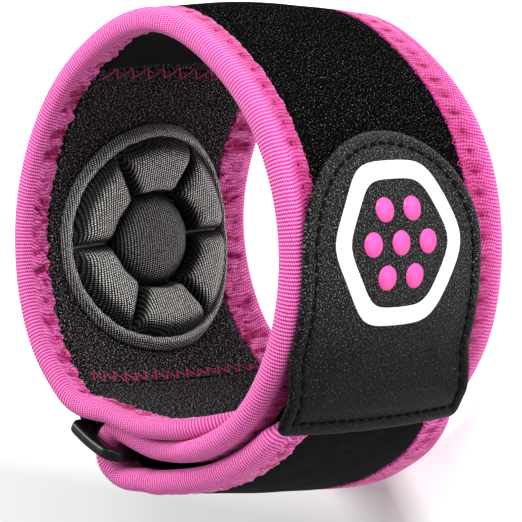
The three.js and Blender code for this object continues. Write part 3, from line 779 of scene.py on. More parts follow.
def tape_relief(path, depth, inner, shift):
    """How far the ribs and, apart from them, the puckers stand out, in millimetres."""
    on_flange = lerp(ease(depth, 3.0, 5.0), ease(depth, 2.0, 3.6), inner)
    rib = 0.5 + 0.5 * np.cos(2 * np.pi * path / RIB_PITCH)
    ribs = rib * lerp(RIM_RIB, lerp(OUTER_RIB, INNER_RIB, inner), on_flange)
    crinkle = uneven(path / 0.66 + 0.25 * depth, 7) * lerp(0.08, 0.28, inner)
    puckers = uneven(path / 1.5 + 0.9 * uneven(depth * 0.9, 60), 200)
    tufts = uneven(path / 1.1 + depth * 0.8, 330) * uneven(depth * 0.8 + path / 4, 350)
    gather = puckers * lerp(0.09, 0.44, inner) + tufts * lerp(0.0, 0.60, inner)
    fade = 1 - 0.3 * ease(depth, 7.0, 8.0)
    from_needle = np.abs(np.mod(path / ZIGZAG_PITCH + shift, 1) - 0.5) * ZIGZAG_PITCH
    reach = np.hypot(from_needle, depth - NEEDLE_DEPTH)
    pleats = 0.5 + 0.5 * np.cos(PLEATS * np.arctan2(depth - NEEDLE_DEPTH, from_needle + 0.01))
    hole = HOLE_DEPTH * np.exp(-(reach / HOLE_RADIUS) ** 2)
    pleat = PLEAT_DEPTH * pleats * np.exp(-(reach / PLEAT_REACH) ** 2)
    pull = PULL * ease(depth, 5.6, 7.5) * np.cos(2 * np.pi * (path / ZIGZAG_PITCH + shift)) ** 2
    return ribs, on_flange * (fade * (crinkle + gather) - hole - pleat - pull)


def shape_tape(side):
    shift = ZIGZAG_SHIFT[side]

    def shape(u, v, w):
        path = u * path_length
        row = np.rint(v * (len(tape_section) - 1)).astype(int)
        depth, n = tape_section[row].T
        inner = (n < 0).astype(float)
        after_fold = ease(path - (path_length - strap_length), fold_start, fold_end)
        ribs, puckers = tape_relief(path, depth, inner, shift)
        puckers = puckers * (1 - 0.5 * after_fold)
        raised = visible[row] * (ribs + puckers)
        on_flange = lerp(ease(depth, 2.4, 5.5), ease(depth, 1.9, 3.8), inner)
        detail = np.column_stack([np.clip(0.5 + puckers, 0, 1), on_flange])
        wider = flange_width(side, inner, path - FLAP_CORNER) - FLANGE
        depth = depth + section_out[row, 0] * raised + wider * ease(depth, 3.0, FLANGE)
        n = n + section_out[row, 1] * raised
        drawn_in = 0.5 + 0.5 * np.cos(2 * np.pi * (path / ZIGZAG_PITCH + shift))
        torn = lerp(0.12, 0.38 - 0.2 * after_fold, inner)
        frayed = uneven(path / 1.1, 230) * torn + uneven(path / 0.6, 260) * 0.12
        scallop = 0.35 * drawn_in + frayed
        depth = depth - np.where(FLANGE - 0.6 < tape_section[row, 0], scallop, 0)
        s, z, in_s, in_z = edge_path(path, side)
        place = wrap(s + depth * in_s, z + depth * in_z, n)
        return place, np.column_stack([path, section_run[row]]), detail
    return shape


tape_columns = round(path_length / RIB_PITCH * TAPE_STEPS)
tape_rows = len(tape_section) - 1
near_tape = shape_piece("binding_near", lay_grid(tape_columns, tape_rows), shape_tape(1))
far_tape = shape_piece("binding_far", lay_grid(tape_columns, tape_rows), shape_tape(-1))
for tape in (near_tape, far_tape):
    dress(tape, knit.material, "binding", "edge_binding")

# %% [markdown]
# ## Sewing thread
#
# Thread is a curve with a round bevel. The seams are drawn flat like everything else:
# a zigzag is a list of needle points, and between two of them the thread rises a little
# off the cloth. Wrapped round the loop, the curve is turned into a mesh.


# %% Thread from needle points
def sew(name, seams, radius, material, slot):
    """seams: lists of places in metres, one for each run of thread."""
    curve = bpy.data.curves.new(name, "CURVE")
    curve.dimensions = "3D"
    curve.bevel_depth = radius * MM
    curve.bevel_resolution = 1
    curve.use_fill_caps = True
    for seam in seams:
        run = curve.splines.new("POLY")
        run.points.add(len(seam) - 1)
        run.points.foreach_set("co", np.column_stack([seam, np.ones(len(seam))]).ravel())
    drawn = show(name, curve)
    bpy.context.view_layer.update()
    mesh = bpy.data.meshes.new_from_object(drawn)
    bpy.data.objects.remove(drawn)
    for polygon in mesh.polygons:
        polygon.use_smooth = True
    mesh.name = name
    dress(show(name, mesh), material, slot)
    print(f"{name}: {len(seams)} runs, {len(mesh.polygons)} faces")


def zigzag(points, per_leg=5):
    """Flat needle points (a, b, n) to a thread that arches between them."""
    points = np.array(points, dtype=float)
    share = np.linspace(0, 1, per_leg + 1)[:-1]
    legs = [lerp(points[i], points[i + 1], share[:, None]) for i in range(len(points) - 1)]
    rise = np.tile(np.sin(share * np.pi), len(points) - 1)
    return np.vstack([*legs, points[-1:]]), np.append(rise, 0)


# %% Thread colours
def thread_recipe(name, dark, light, roughness):
    thread = Recipe(name, roughness, Specular_IOR_Level=0.1)
    twist = thread.noise(thread.body(), 0.22, detail=1)
    thread.colour(thread.ramp(twist, (0.35, dark), (0.65, light)))
    thread.relief((twist, 0.05, 0.6))
    return thread


rose_thread = thread_recipe("rose_thread", (0.16, 0.002, 0.04), (0.66, 0.045, 0.21), 0.5)
edge_thread = thread_recipe("edge_thread", (0.50, 0.008, 0.15), (0.82, 0.06, 0.34), 0.6)
black_thread = thread_recipe("black_thread", (0.0006, 0.0006, 0.0006), (0.0022, 0.0022, 0.0022), 0.9)


# %% The zigzag that holds the binding, on both faces of both edges
EDGE_THREAD = 0.09
SEAM_STOPS = 6.0
# how far the thread bites past the tape, by edge (1 near) and face (1 outside)
BITE = {(1, 1): 0.45, (-1, 1): 0.95, (1, -1): 0.1, (-1, -1): 0.1}


def edge_seam(side, face, shift):
    count = int((path_length - SEAM_STOPS) / ZIGZAG_PITCH)
    points = []
    for i in range(count):
        needle = (i + 0.5 - shift) * ZIGZAG_PITCH
        width = float(flange_width(side, 1.0 if face < 0 else 0.0, needle - FLAP_CORNER))
        points.append((needle, width - NEEDLE_IN, tape_half(NEEDLE_DEPTH) - 0.30))
        bite = BITE[side, face] * float(0.6 + 0.7 * uneven(i * 1.7, 55))
        points.append((needle + ZIGZAG_PITCH / 2 + 0.5 * bite, width + bite, FACE_HALF + bite / 6 - 0.06))
    flat_run, rise = zigzag(points)
    path, depth, n = flat_run.T
    s, z, in_s, in_z = edge_path(path, side)
    return wrap(s + depth * in_s, z + depth * in_z, face * (n + 0.12 * rise))


edge_seams = [edge_seam(side, face, ZIGZAG_SHIFT[side]) for side in (1, -1) for face in (1, -1)]
sew("edge_zigzag", edge_seams, EDGE_THREAD, edge_thread.material, "binding")

# %% [markdown]
# ## The fleece panel and its two seams
#
# Inside, a panel of brushed fleece carries the pad. It is a second thin cloth, sewn down
# across the band by two zigzags in rose thread: a wide one at the top and a close one at
# the bottom. The cloth is pulled down along the seams and full between them.

# %% Shaping the panel
PANEL_FLOOR = -FACE_HALF - 0.25
PANEL_THICKNESS = 1.0
PANEL_THREAD = 0.14
LOWER_HEM, UPPER_HEM = 2.4, 1.0


def seam_angle(seam, share):
    """The angle of a seam at a share of the band's width, for it runs slightly askew."""
    return lerp(seam[1], seam[0], share)


def panel_thickness(s, z):
    """Pressed thin along its two seams, full between them."""
    lower, upper = (length_at(seam_angle(seam, z / STRAP_WIDTH)) for seam in (LOWER_SEAM, UPPER_SEAM))
    from_seam = np.minimum(np.abs(s - lower), np.abs(s - upper))
    return lerp(0.3, PANEL_THICKNESS, ease(from_seam, 1.2, 6.0))


def shape_panel(u, v, w):
    lower = length_at(seam_angle(LOWER_SEAM, v) + LOWER_HEM)
    upper = length_at(seam_angle(UPPER_SEAM, v) - UPPER_HEM)
    s = lerp(lower, upper, u)
    far, near = FLANGES[-1][1] + 0.4, STRAP_WIDTH - FLANGES[1][1] - 0.4
    z = lerp(far, near, v)
    from_seam = np.minimum(s - lower, upper - s)
    from_side = np.minimum(z - far, near - z)
    edge = ease(from_seam, 0, 1.0) * ease(from_side, 0, 1.5)
    loose = 0.10 * uneven(s / 5 + z / 11, 300) * ease(from_seam, 1, 6)
    thick = 0.2 + edge * (panel_thickness(s, z) - 0.2 + loose)
    return wrap(s, z, PANEL_FLOOR - (1 - w) * thick), np.column_stack([s, z])


panel = shape_piece("fleece_cloth", lay_slab(96, 48), shape_panel)
dress(panel, fleece.material, "fleece", "fleece_panel")


# %% The two seams across it
def cross_seam(seam, pitch, swing, lean):
    """Zigzag across the band, from one flange to the other, on the face of the cloth."""
    start, end = FLANGES[-1][1] + 0.2, STRAP_WIDTH - FLANGES[1][1] - 0.2
    count = round((end - start) / pitch)
    points = []
    for i in range(count):
        z = start + (end - start) * i / count
        middle = float(length_at(seam_angle(seam, i / count)))
        wobble = 0.35 * uneven(np.array([i * 1.7]), 470)[0]
        points += [(middle + swing / 2 + wobble, z, 0), (middle - swing / 2 + wobble, z + pitch * lean, 0)]
    flat_run, rise = zigzag(points, per_leg=6)
    s, z, _ = flat_run.T
    past_panel = s > length_at(seam_angle(seam, z / STRAP_WIDTH) - UPPER_HEM)
    upper = seam is UPPER_SEAM
    face = np.where(past_panel & upper, PANEL_FLOOR - 0.05, PANEL_FLOOR - panel_thickness(s, z))
    buried = 0.0 if upper else 0.22 * np.maximum(uneven(z / 0.9, 140) - 0.1, 0)
    return wrap(s, z, face - 0.02 - 0.10 * rise + buried)


upper_seam = cross_seam(UPPER_SEAM, 5.0, 3.4, 0.5)
lower_seam = cross_seam(LOWER_SEAM, 2.9, 3.0, 0.45)
sew("panel_seams", [upper_seam, lower_seam], PANEL_THREAD, rose_thread.material, "fleece")

# %% [markdown]
# ## The quilted pad
#
# The pad is foam under a mesh knit, moulded into a round middle, six petals and a soft
# rim. The cover is one piece of cloth, drawn down to the foam's floor along the seams.
# It is laid out as a disc of rings and spokes, so that seams follow rows of faces, and
# each place rises by its distance from the nearest seam. Its plan is kept as its UV: on
# the steep sides the knit is stretched, as it is when such a pad is moulded. On the rim
# the way climbed is added, so that the knit goes round it evenly.

# %% The pad's measures
PAD_ANGLE = 182.7
PAD_ACROSS = 31.7
PAD_LENGTH, PAD_WIDTH = 59.5, 47.0
PAD_TURN = math.radians(3.3)
PAD_FLOOR = -3.55
PAD_RIM_HEIGHT, PAD_RIM_SHARE = 2.6, 0.09
DOME_LENGTH, DOME_WIDTH, DOME_HEIGHT = 25.5, 22.0, 9.0
PETAL_HEIGHT = 8.2
PETALS = 6
SEAM_HEIGHT, COVER_SHARE = 1.15, 0.84
RIM_TOP_AT, RIM_STEEP_SHARE = 0.44, 0.5
pad_s = float(length_at(PAD_ANGLE))


def ellipse(a, length, width):
    """Along and across the strap, for a turn in degrees round an oval."""
    return length / 2 * np.sin(np.radians(a)), width / 2 * np.cos(np.radians(a))


# %% Heights over the pad's plan
def pad_height(a, r):
    """a: turn round the pad in degrees, r: share from the middle (0) to the rim (1)."""
    reach = np.hypot(*ellipse(a, PAD_LENGTH, PAD_WIDTH))
    dome_reach = np.hypot(*ellipse(a, DOME_LENGTH, DOME_WIDTH))
    from_middle = r * reach
    rim_start = (1 - PAD_RIM_SHARE) * reach
    rim_width = reach - rim_start
    in_dome = np.clip(from_middle / dome_reach, 0, 1)
    dome = DOME_HEIGHT * (1 - in_dome ** 2.7) ** 0.5
    spoke = np.mod(a, 360 / PETALS)
    spoke = np.minimum(spoke, 360 / PETALS - spoke)
    from_spoke = from_middle * np.radians(spoke)
    from_dome, from_rim = from_middle - dome_reach, rim_start - from_middle
    petal = pillow(from_spoke - 0.3, 4.6, 2.7) * (
        pillow(from_dome - 0.3, 3.9, 2.8) * pillow(from_rim, 5.2, 2.3))
    tilt = 1 - 0.10 * from_dome / (rim_start - dome_reach)
    petals = PETAL_HEIGHT * petal * np.clip(tilt, 0.8, 1.1)
    in_rim = np.clip((from_middle - rim_start) / rim_width, 0, 1)
    rim = PAD_RIM_HEIGHT * np.sin(np.pi * in_rim ** 0.85) ** 0.55
    height = np.where(from_middle < dome_reach, dome, petals)
    height = np.where(from_middle > rim_start, rim, height)
    return height, from_spoke, from_dome, from_rim


def uneven_ring(a, waves, shift):
    """Uneven waves round a ring, which meet where the ring closes."""
    turn = a / 360
    return lerp(uneven(turn * waves, shift), uneven((turn - 1) * waves, shift), ease(turn, 0.85, 1))


def pad_puckers(a, from_middle, from_spoke, from_dome, from_rim):
    """Small pulls of the cloth across each seam."""
    round_seam = uneven_ring(a, 60, 20) * np.exp(-np.abs(from_dome) / 2.2)
    rim_seam = uneven_ring(a, 119, 110) * np.exp(-np.abs(from_rim) / 2.0)
    spoke_seam = uneven(from_middle / 1.3, 170) * np.exp(-from_spoke / 2.0)
    return 0.22 * round_seam + 0.25 * rim_seam + 0.18 * spoke_seam


def pad_steepness(x, y):
    """How steep the cover stands at a place of the plan: 0 flat, 1 a wall."""
    small, wall = 0.15, 2.2

    def height(x, y):
        a = np.degrees(np.arctan2(y / PAD_LENGTH, x / PAD_WIDTH))
        return pad_height(np.mod(a, 360), np.hypot(2 * x / PAD_WIDTH, 2 * y / PAD_LENGTH))[0]

    slope_x = (height(x + small, y) - height(x - small, y)) / (2 * small)
    slope_y = (height(x, y + small) - height(x, y - small)) / (2 * small)
    return np.clip(np.hypot(slope_x, slope_y) / wall, 0, 1)


# %% Shaping the pad
ring_share = np.array([0, 0.30, 0.40, 0.50, 0.74, 0.84, 0.94, 1.0])
ring_rows = np.array([0, 0.14, 0.24, 0.37, 0.57, 0.68, 0.88, 1.0])
TOP_ROWS = 0.86


def shape_pad(u, v, w):
    a = u * 360
    r = np.interp(np.minimum(v / TOP_ROWS, 1), ring_rows, ring_share)
    below = np.clip((v - TOP_ROWS) / (1 - TOP_ROWS), 0, 1)
    height, from_spoke, from_dome, from_rim = pad_height(a, r)
    full_reach = np.hypot(*ellipse(a, PAD_LENGTH, PAD_WIDTH))
    reach = r * full_reach
    puckers = pad_puckers(a, reach, from_spoke, from_dome, from_rim)
    calm = np.clip(r / 0.2, 0, 1)
    top = SEAM_HEIGHT * ease(1 - r, 0, 0.02) + height * COVER_SHARE
    top = top + calm * puckers * (r < 0.985)
    n = PAD_FLOOR - np.where(below > 0, 0.02, top)
    shrink = np.where(below > 0, 1 - below, r)
    y, x = ellipse(a, shrink * PAD_LENGTH, shrink * PAD_WIDTH)
    turned_y = y * math.cos(PAD_TURN) + x * math.sin(PAD_TURN)
    turned_x = x * math.cos(PAD_TURN) - y * math.sin(PAD_TURN)
    from_seam = np.where((from_dome > 0) & (from_rim > 0), from_spoke, 9)
    steep = pad_steepness(x, y) * np.where(from_rim < 0, RIM_STEEP_SHARE, 1)
    rising = -from_rim < RIM_TOP_AT * PAD_RIM_SHARE * full_reach
    climbed = np.where(rising, height, 2 * PAD_RIM_HEIGHT - height)
    longer = 1 + np.where(from_rim < 0, climbed, 0) / np.maximum(reach, 1)
    lay = np.column_stack([y, x]) * longer[:, None]
    detail = np.column_stack([steep, np.clip(from_seam, 0, 1)])
    return wrap(pad_s + turned_y, PAD_ACROSS - turned_x, n), lay, detail


pad = shape_piece("quilted_pad", lay_grid(384, 120), shape_pad)
pad_nodes = ["pad_base", "pad_dome"] + [f"pad_petal_{i + 1}" for i in range(PETALS)]

# %% The mesh knit
WALE, COURSE = 0.62, 0.50
mesh_knit = Recipe("mesh_knit", 0.6, Sheen_Weight=0.03, Sheen_Roughness=0.4, Specular_IOR_Level=0.15)
flat = mesh_knit.lay()
along_s, across_z, _ = mesh_knit.split(flat)
drift = mesh_knit.noise(flat, 9)
column = mesh_knit.waves(across_z, WALE, mesh_knit.times(drift, 2.0))
half_turn = mesh_knit.times(across_z, math.pi / WALE)
row = mesh_knit.waves(along_s, COURSE, half_turn)
loops = mesh_knit.times(column, row)
lint = mesh_knit.noise(flat, 0.33, detail=2)
bright = mesh_knit.times(loops, mesh_knit.ramp(lint, (0.3, 0.45), (0.7, 1.3)))
yarn = mesh_knit.ramp(bright, (0.10, (0.005, 0.005, 0.0048)), (0.33, (0.076, 0.079, 0.073)),
                      (0.74, (0.90, 0.93, 0.87)))
steep, from_seam, _ = mesh_knit.detail()
# painted shade: the knit is darker the steeper the cover stands, so the walls of the dome, petals and rim
# are dark
painted_wall_shade = mesh_knit.ramp(steep, (0.28, 1.0), (0.70, 0.14), (1.0, 0.05))
# painted highlight: the flat floors of the seams between the petals are a pale grey
seam_highlight_mask = mesh_knit.ramp(from_seam, (0.16, 1.0), (0.34, 0.0))
covered = mesh_knit.tinted(yarn, painted_wall_shade)
from_middle = mesh_knit.add("VectorMath", {0: flat}, operation="LENGTH").outputs["Value"]
# painted light: the knit beyond the dome, on the petals and the rim, is made lighter than on the dome
painted_petal_light = mesh_knit.ramp(mesh_knit.math("DIVIDE", from_middle, 30), (0.38, 0.74), (0.48, 1.8))
covered = mesh_knit.tinted(covered, painted_petal_light)
mesh_knit.colour(mesh_knit.blend(mesh_knit.times(seam_highlight_mask, 0.7), covered, (0.24, 0.235, 0.225)))
mesh_knit.relief((loops, 0.22, 0.8), (lint, 0.06, 0.4))
dress(pad, mesh_knit.material, "pad_knit", *pad_nodes)

# %% [markdown]
# ## The buckle and its keeper
#
# The buckle is one moulded ring, bent to the loop: two long bars and two short sides of
# one flat section with eased corners. A section swept round the outline gives it in one
# grid, closed both ways. The webbing that holds its fixed bar is a strip that runs under
# the bar, round it and back.

# %% The ring
BUCKLE_THICKNESS = 2.8
BUCKLE_BAR, BUCKLE_WINDOW, BUCKLE_SIDE, BUCKLE_LIFT = 2.9, 10.8, 3.1, 0.7
BAR_ANGLE = 252.5
FREE_CORNER, FIXED_CORNER = 4.2, 1.8
OUTLINE_ROUND, SECTION_ROUND = 150, 11
BAR_SITS_IN, CORNER_POWER = 0.6, 4.2
bar_radius = fold_reach - BAR_SITS_IN
ring_length = BUCKLE_WINDOW + 2 * BUCKLE_BAR
ring_half_z = (FOLD_WIDTH + 4 * GAP) / 2 + BUCKLE_SIDE


def ring_outline(share):
    """Place on the buckle's outline and the way out of it, for a share of the way round."""
    half_s = ring_length / 2
    corners = np.array([FREE_CORNER, FIXED_CORNER, FIXED_CORNER, FREE_CORNER])
    before = np.roll(corners, 1)
    sides = 2 * np.array([ring_half_z, half_s, ring_half_z, half_s]) - before - corners
    legs = np.column_stack([sides, corners * math.pi / 2]).ravel()
    marks = np.concatenate([[0], np.cumsum(legs)])
    run = np.mod(share, 1) * marks[-1]
    leg = np.clip(np.searchsorted(marks, run, side="right") - 1, 0, 7)
    part = (run - marks[leg]) / legs[leg]
    quarter = leg // 2
    bending = leg % 2 == 1
    turn = np.radians(90 * (quarter + np.where(bending, part, 0)))
    out = np.column_stack([np.cos(turn), np.sin(turn)])
    signs = np.array([[1, 1], [-1, 1], [-1, -1], [1, -1]])
    middles = signs * (np.array([half_s, ring_half_z]) - corners[:, None])
    starts = signs[[3, 0, 1, 2]] * (np.array([half_s, ring_half_z]) - before[:, None])
    radius = np.where(bending, corners[quarter], before[quarter])[:, None]
    ends = middles + np.array([[1, 0], [0, 1], [-1, 0], [0, -1]]) * (corners - before)[:, None]
    straight = lerp(starts[quarter], ends[quarter], part[:, None])
    centre = np.where(bending[:, None], middles[quarter], straight)
    return centre + out * radius, out


def eased(x):
    """Pushes a sine or cosine outwards, which turns a round section into one with eased corners."""
    return np.sign(x) * np.abs(x) ** (2 / CORNER_POWER)


def shape_buckle(u, v, w):
    place, out = ring_outline(u)
    across = lerp(BUCKLE_BAR, BUCKLE_SIDE, np.abs(out[:, 1]))
    round_x, round_n = eased(np.cos(v * 2 * np.pi)), eased(np.sin(v * 2 * np.pi))
    depth = across / 2 * (1 - round_x)
    n = BUCKLE_THICKNESS / 2 * round_n
    s = place[:, 0] - depth * out[:, 0] - ring_length / 2
    z = place[:, 1] - depth * out[:, 1] + FOLD_CENTRE
    angle = BAR_ANGLE + np.degrees((s + BUCKLE_BAR / 2) / bar_radius)
    lift = BUCKLE_LIFT * np.maximum(-s - BUCKLE_BAR, 0) / (ring_length - BUCKLE_BAR)
    lay = np.column_stack([u * OUTLINE_ROUND, v * SECTION_ROUND])
    return in_frame(polar(angle, bar_radius + lift + n), z), lay


ring = shape_piece("ring_buckle", lay_grid(240, 32), shape_buckle)
moulding = Recipe("satin_moulding", 0.3, Specular_IOR_Level=0.25)
wear = moulding.noise(moulding.body(), 2.5, detail=4)
moulding.colour(moulding.ramp(wear, (0.4, (0.0020, 0.0020, 0.0022)), (0.7, (0.0045, 0.0045, 0.005))))
moulding.roughness(moulding.noise(moulding.body(), 1.1, detail=5), 0.22, 0.42)
moulding.relief((moulding.noise(moulding.body(), 0.25), 0.01, 0.4))
dress(ring, moulding.material, "buckle_plastic", "buckle")

# %% Webbing
webbing = Recipe("keeper_webbing", 0.8, Specular_IOR_Level=0.08)
flat = webbing.lay()
warp, weft, _ = webbing.split(flat)
twill = webbing.waves(webbing.plus(warp, weft), 1.3)
yarn = webbing.waves(weft, 0.8)
weave = webbing.times(twill, yarn)
webbing.colour(webbing.ramp(weave, (0.1, (0.0022, 0.0022, 0.0022)), (0.8, (0.016, 0.0155, 0.016))))
webbing.relief((weave, 0.25, 0.9), (webbing.noise(flat, 0.2), 0.05, 0.5))

# %% The keeper
KEEPER_WIDTH, KEEPER_PLY, KEEPER_FROM = 49.0, 0.9, 213.0
KEEPER_STOP, KEEPER_BEND = 6.5, (-105, 115)
KEEPER_COLUMNS, KEEPER_ROWS = 96, 24
fixed_bar = BAR_ANGLE - math.degrees((BUCKLE_WINDOW + BUCKLE_BAR) / bar_radius)


def keeper_line(z):
    """The strip's middle line at one height: under the bar, round it, and back over."""
    angles = np.linspace(KEEPER_FROM, fixed_bar - KEEPER_STOP, 15)
    s = length_at(angles)
    face = wrap(s, np.full_like(s, z), np.full_like(s, FACE_HALF))[:, :2]
    radius = np.linalg.norm(face - LOOP_CENTRE, axis=1) / MM
    half = KEEPER_PLY / 2
    under = polar(angles, radius + 2 * GAP + half)
    over = polar(angles, radius + 3 * GAP + 3 * half)
    turn = np.radians(np.linspace(*KEEPER_BEND, 19))
    around = BUCKLE_THICKNESS / 2 + 1.5 * GAP + half
    centre = polar(fixed_bar, bar_radius + BUCKLE_LIFT)
    bend = (centre + polar(fixed_bar, 1) * (around * np.sin(turn))[:, None]
            + polar(fixed_bar + 90, 1) * (around * np.cos(turn))[:, None])
    return np.vstack([under, bend, over[::-1]])


def shape_keeper(u, v, w):
    share = np.linspace(0, 1, KEEPER_COLUMNS + 1)
    place = np.empty((len(u), 2))
    run = np.empty(len(u))
    at_row = np.rint(v * KEEPER_ROWS).astype(int)
    for row in range(KEEPER_ROWS + 1):
        line = keeper_line(FOLD_CENTRE + (row / KEEPER_ROWS - 0.5) * KEEPER_WIDTH)
        length = np.concatenate([[0], np.cumsum(np.linalg.norm(np.diff(line, axis=0), axis=1))])
        even = np.column_stack([np.interp(share * length[-1], length, line[:, i]) for i in range(2)])
        ahead = np.gradient(even, axis=0)
        ahead /= np.linalg.norm(ahead, axis=1)[:, None]
        side = np.column_stack([-ahead[:, 1], ahead[:, 0]])
        mine = at_row == row
        column = np.rint(u[mine] * KEEPER_COLUMNS).astype(int)
        away = ((w[mine] - 0.5) * KEEPER_PLY)[:, None]
        place[mine] = even[column] + side[column] * away
        run[mine] = share[column] * length[-1]
    z = FOLD_CENTRE + (v - 0.5) * KEEPER_WIDTH
    return in_frame(place, z), np.column_stack([run, z])


keeper = shape_piece("keeper_strip", lay_slab(KEEPER_COLUMNS, KEEPER_ROWS), shape_keeper)
dress(keeper, webbing.material, "webbing", "buckle_keeper")

# %% [markdown]
# ## The leather tab
#
# The tab is thin coated leather over a firm backing: a straight end, a half-round end
# and a row of black stitches three millimetres in. Its edge is rolled, the stitches lie
# in a groove, and the middle is slightly padded. Rings of faces that follow the outline
# inwards give all three, so it is laid out as rings from the middle line over the edge
# and back underneath.

# %% The tab's measures and the surface it lies on
TAB_WIDTH, TAB_CENTRE, TAB_THICKNESS = 52.0, 36.8, 1.7
TAB_FROM, TAB_TO, TAB_SETTLED = -41.5, 31.5, -22.0
TAB_CORNER, TAB_EDGE = 2.2, 0.9
HOOK_THICKNESS = 0.7
STITCH_INSET = 3.0


def middle_radius(rows_at, angle, z):
    """Radius of the middle of a layer under a place on the tab."""
    near, far, crown = rows_at(angle)
    share = z / STRAP_WIDTH
    return lerp(far, near, share) + np.abs(crown) * (1 - (2 * share - 1) ** 2)


def approach_rows(angle):
    near, far = (LOOP_RADIUS * loop_at(side, angle) for side in (NEAR, FAR))
    return [near, far, CROWN * loop_at(BOW, angle)]


def outer_rows(angle):
    turned = angle + 360
    near, far, crown = approach_rows(turned)
    settle = ease(turned, FOLD, SETTLED)
    pitch = lerp(2 * FOLD_RADIUS, outer_pitch, settle)
    loose = [2 * RIM_HALF * read_rows(OUTER_ROWS, side, turned) for side in (NEAR, FAR)]
    return [near + pitch + loose[0], far + pitch + loose[1], CROWN * read_rows(OUTER_ROWS, BOW, turned)]


def on_tab(angle, z, n):
    under = middle_radius(approach_rows, angle, z)
    end = np.minimum(angle, HOOK_END - 360)
    lift = middle_radius(outer_rows, end, z) - middle_radius(approach_rows, end, z)
    on_band = under + RIM_HALF + HOOK_THICKNESS
    on_end = under + lift + RIM_HALF * END_PRESSED + GAP
    radius = lerp(on_end, on_band, ease(angle, HOOK_END - 360 + 1, TAB_SETTLED)) + n
    return in_frame(polar(angle, radius), z)


tab_radius = float(middle_radius(approach_rows, np.zeros(1), np.full(1, TAB_CENTRE))[0]) + RIM_HALF
tab_length = math.radians(TAB_TO - TAB_FROM) * tab_radius
print("tab", round(tab_length, 1), "mm long on a radius of", round(tab_radius, 1))


# %% Rings inside the tab's outline
def tab_outline(share, inset):
    """Place on the outline moved in by inset: up from the bottom end, and across.

    Each half runs along the bottom end, round its corner, up the side and round the top.
    """
    half = TAB_WIDTH / 2
    centre = tab_length - half
    quarter = math.pi / 2
    legs = [half - TAB_CORNER, quarter * TAB_CORNER, centre - TAB_CORNER, quarter * half]
    marks = np.concatenate([[0], np.cumsum(legs)]) / (2 * np.sum(legs))
    from_bottom = np.minimum(share, 1 - share)
    leg = np.clip(np.searchsorted(marks, from_bottom, side="right") - 1, 0, 3)
    t = (from_bottom - marks[leg]) / (marks[leg + 1] - marks[leg])
    bend = t * quarter
    radius = np.maximum(half - inset, 0)
    corner = np.maximum(TAB_CORNER - inset, 0)
    wide, low = radius - corner, inset + corner
    across = np.choose(leg, [wide * t, wide + corner * np.sin(bend), radius, radius * np.cos(bend)])
    up_side = low + (centre - low) * t
    up_tab = np.choose(leg, [inset, low - corner * np.cos(bend), up_side, centre + radius * np.sin(bend)])
    return up_tab, np.where(share < 0.5, across, -across)


inset_rows = np.array([26, 20, 14, 9, 6, 4.6, 3.9, 3.45, 3.2, 3.0, 2.8, 2.55, 2.1, 1.5, 0.95, 0.5, 0.2,
                       0.04, 0.0, 0.04, 0.2, 0.5, 1.2, 6, 14, 26])
EDGE_ROW = 18


def tab_top(inset):
    """Height of the leather's upper face over its lower one."""
    edge = TAB_THICKNESS * (0.5 + 0.5 * pillow(inset, TAB_EDGE, 2.4))
    groove = -0.34 * np.exp(-((inset - STITCH_INSET) / 0.46) ** 2)
    roll = 0.26 * np.exp(-((inset - 1.4) / 0.9) ** 2)
    crown = 0.45 * ease(inset, 3.2, 12)
    return edge + groove + roll + crown


def tab_waves(up_tab, across):
    return 0.08 * uneven(up_tab / 13, 400) + 0.06 * uneven(across / 11, 440)


def shape_tab(u, v, w):
    row = np.rint(v * (len(inset_rows) - 1)).astype(int)
    inset = inset_rows[row]
    up_tab, across = tab_outline(u, inset)
    angle = TAB_FROM + np.degrees(up_tab / tab_radius)
    top = tab_top(inset) + tab_waves(up_tab, across) * ease(inset, 3, 8)
    bottom = TAB_THICKNESS * (0.5 - 0.5 * pillow(inset, TAB_EDGE, 2.4))
    n = np.where(row <= EDGE_ROW, top, bottom)
    return on_tab(angle, TAB_CENTRE + across, n), np.column_stack([up_tab, across])


tab = shape_piece("leather_closure", lay_grid(420, len(inset_rows) - 1), shape_tab)

# %% Coated leather
leather = Recipe("coated_leather", 0.5, Specular_IOR_Level=0.08)
flat = leather.lay()
bent = leather.add("Mix", data_type="VECTOR")
bent.inputs[0].default_value = 0.12
leather.join(flat, bent.inputs[4])
leather.join(leather.add("TexNoise", {"Vector": flat, "Scale": 1.2}).outputs["Color"], bent.inputs[5])
pebbles = leather.cells(bent.outputs[1], 0.55, feature="DISTANCE_TO_EDGE")
grain_low = leather.noise(flat, 0.40, detail=2, roughness=0.8)
patches = leather.noise(flat, 8, detail=3)
up_tab, _, _ = leather.split(flat)
# fewer pale flecks over the tab's lowest 30 mm, fewest in the lowest 8, so it is darker towards its low end
darker_low_end = leather.between(up_tab, 0.88, 1.0, start=8.0, end=30.0)
specks_and_glints = leather.times(grain_low, darker_low_end)
# the dark grain tones are the leather's own, the pale flecks are painted highlights on the grain
leather.colour(leather.ramp(specks_and_glints, (0.45, (0.0011, 0.0011, 0.0012)), (0.56, (0.0065, 0.0062, 0.0066)),
                            (0.71, (0.28, 0.277, 0.27))))
leather.roughness(patches, 0.34, 0.46)
leather.relief((leather.ramp(pebbles, (0.0, 0.0), (0.22, 1.0)), 0.14, 0.9), (grain_low, 0.16, 0.8))
dress(tab, leather.material, "tab_leather", "leather_tab")

# %% The stitches round it
STITCH, SPACE = 1.75, 0.95
THREAD_RADIUS = 0.40
STITCH_RISE = np.array([-0.45, 0.02, 0.14, 0.17, 0.14, 0.02, -0.45])
outline_share = np.linspace(0, 1, 4000)
outline_up, outline_across = tab_outline(outline_share, np.full(4000, STITCH_INSET))
outline_run = np.concatenate([[0], np.cumsum(np.hypot(np.diff(outline_up), np.diff(outline_across)))])
stitch_count = round(outline_run[-1] / (STITCH + SPACE))
pitch = outline_run[-1] / stitch_count


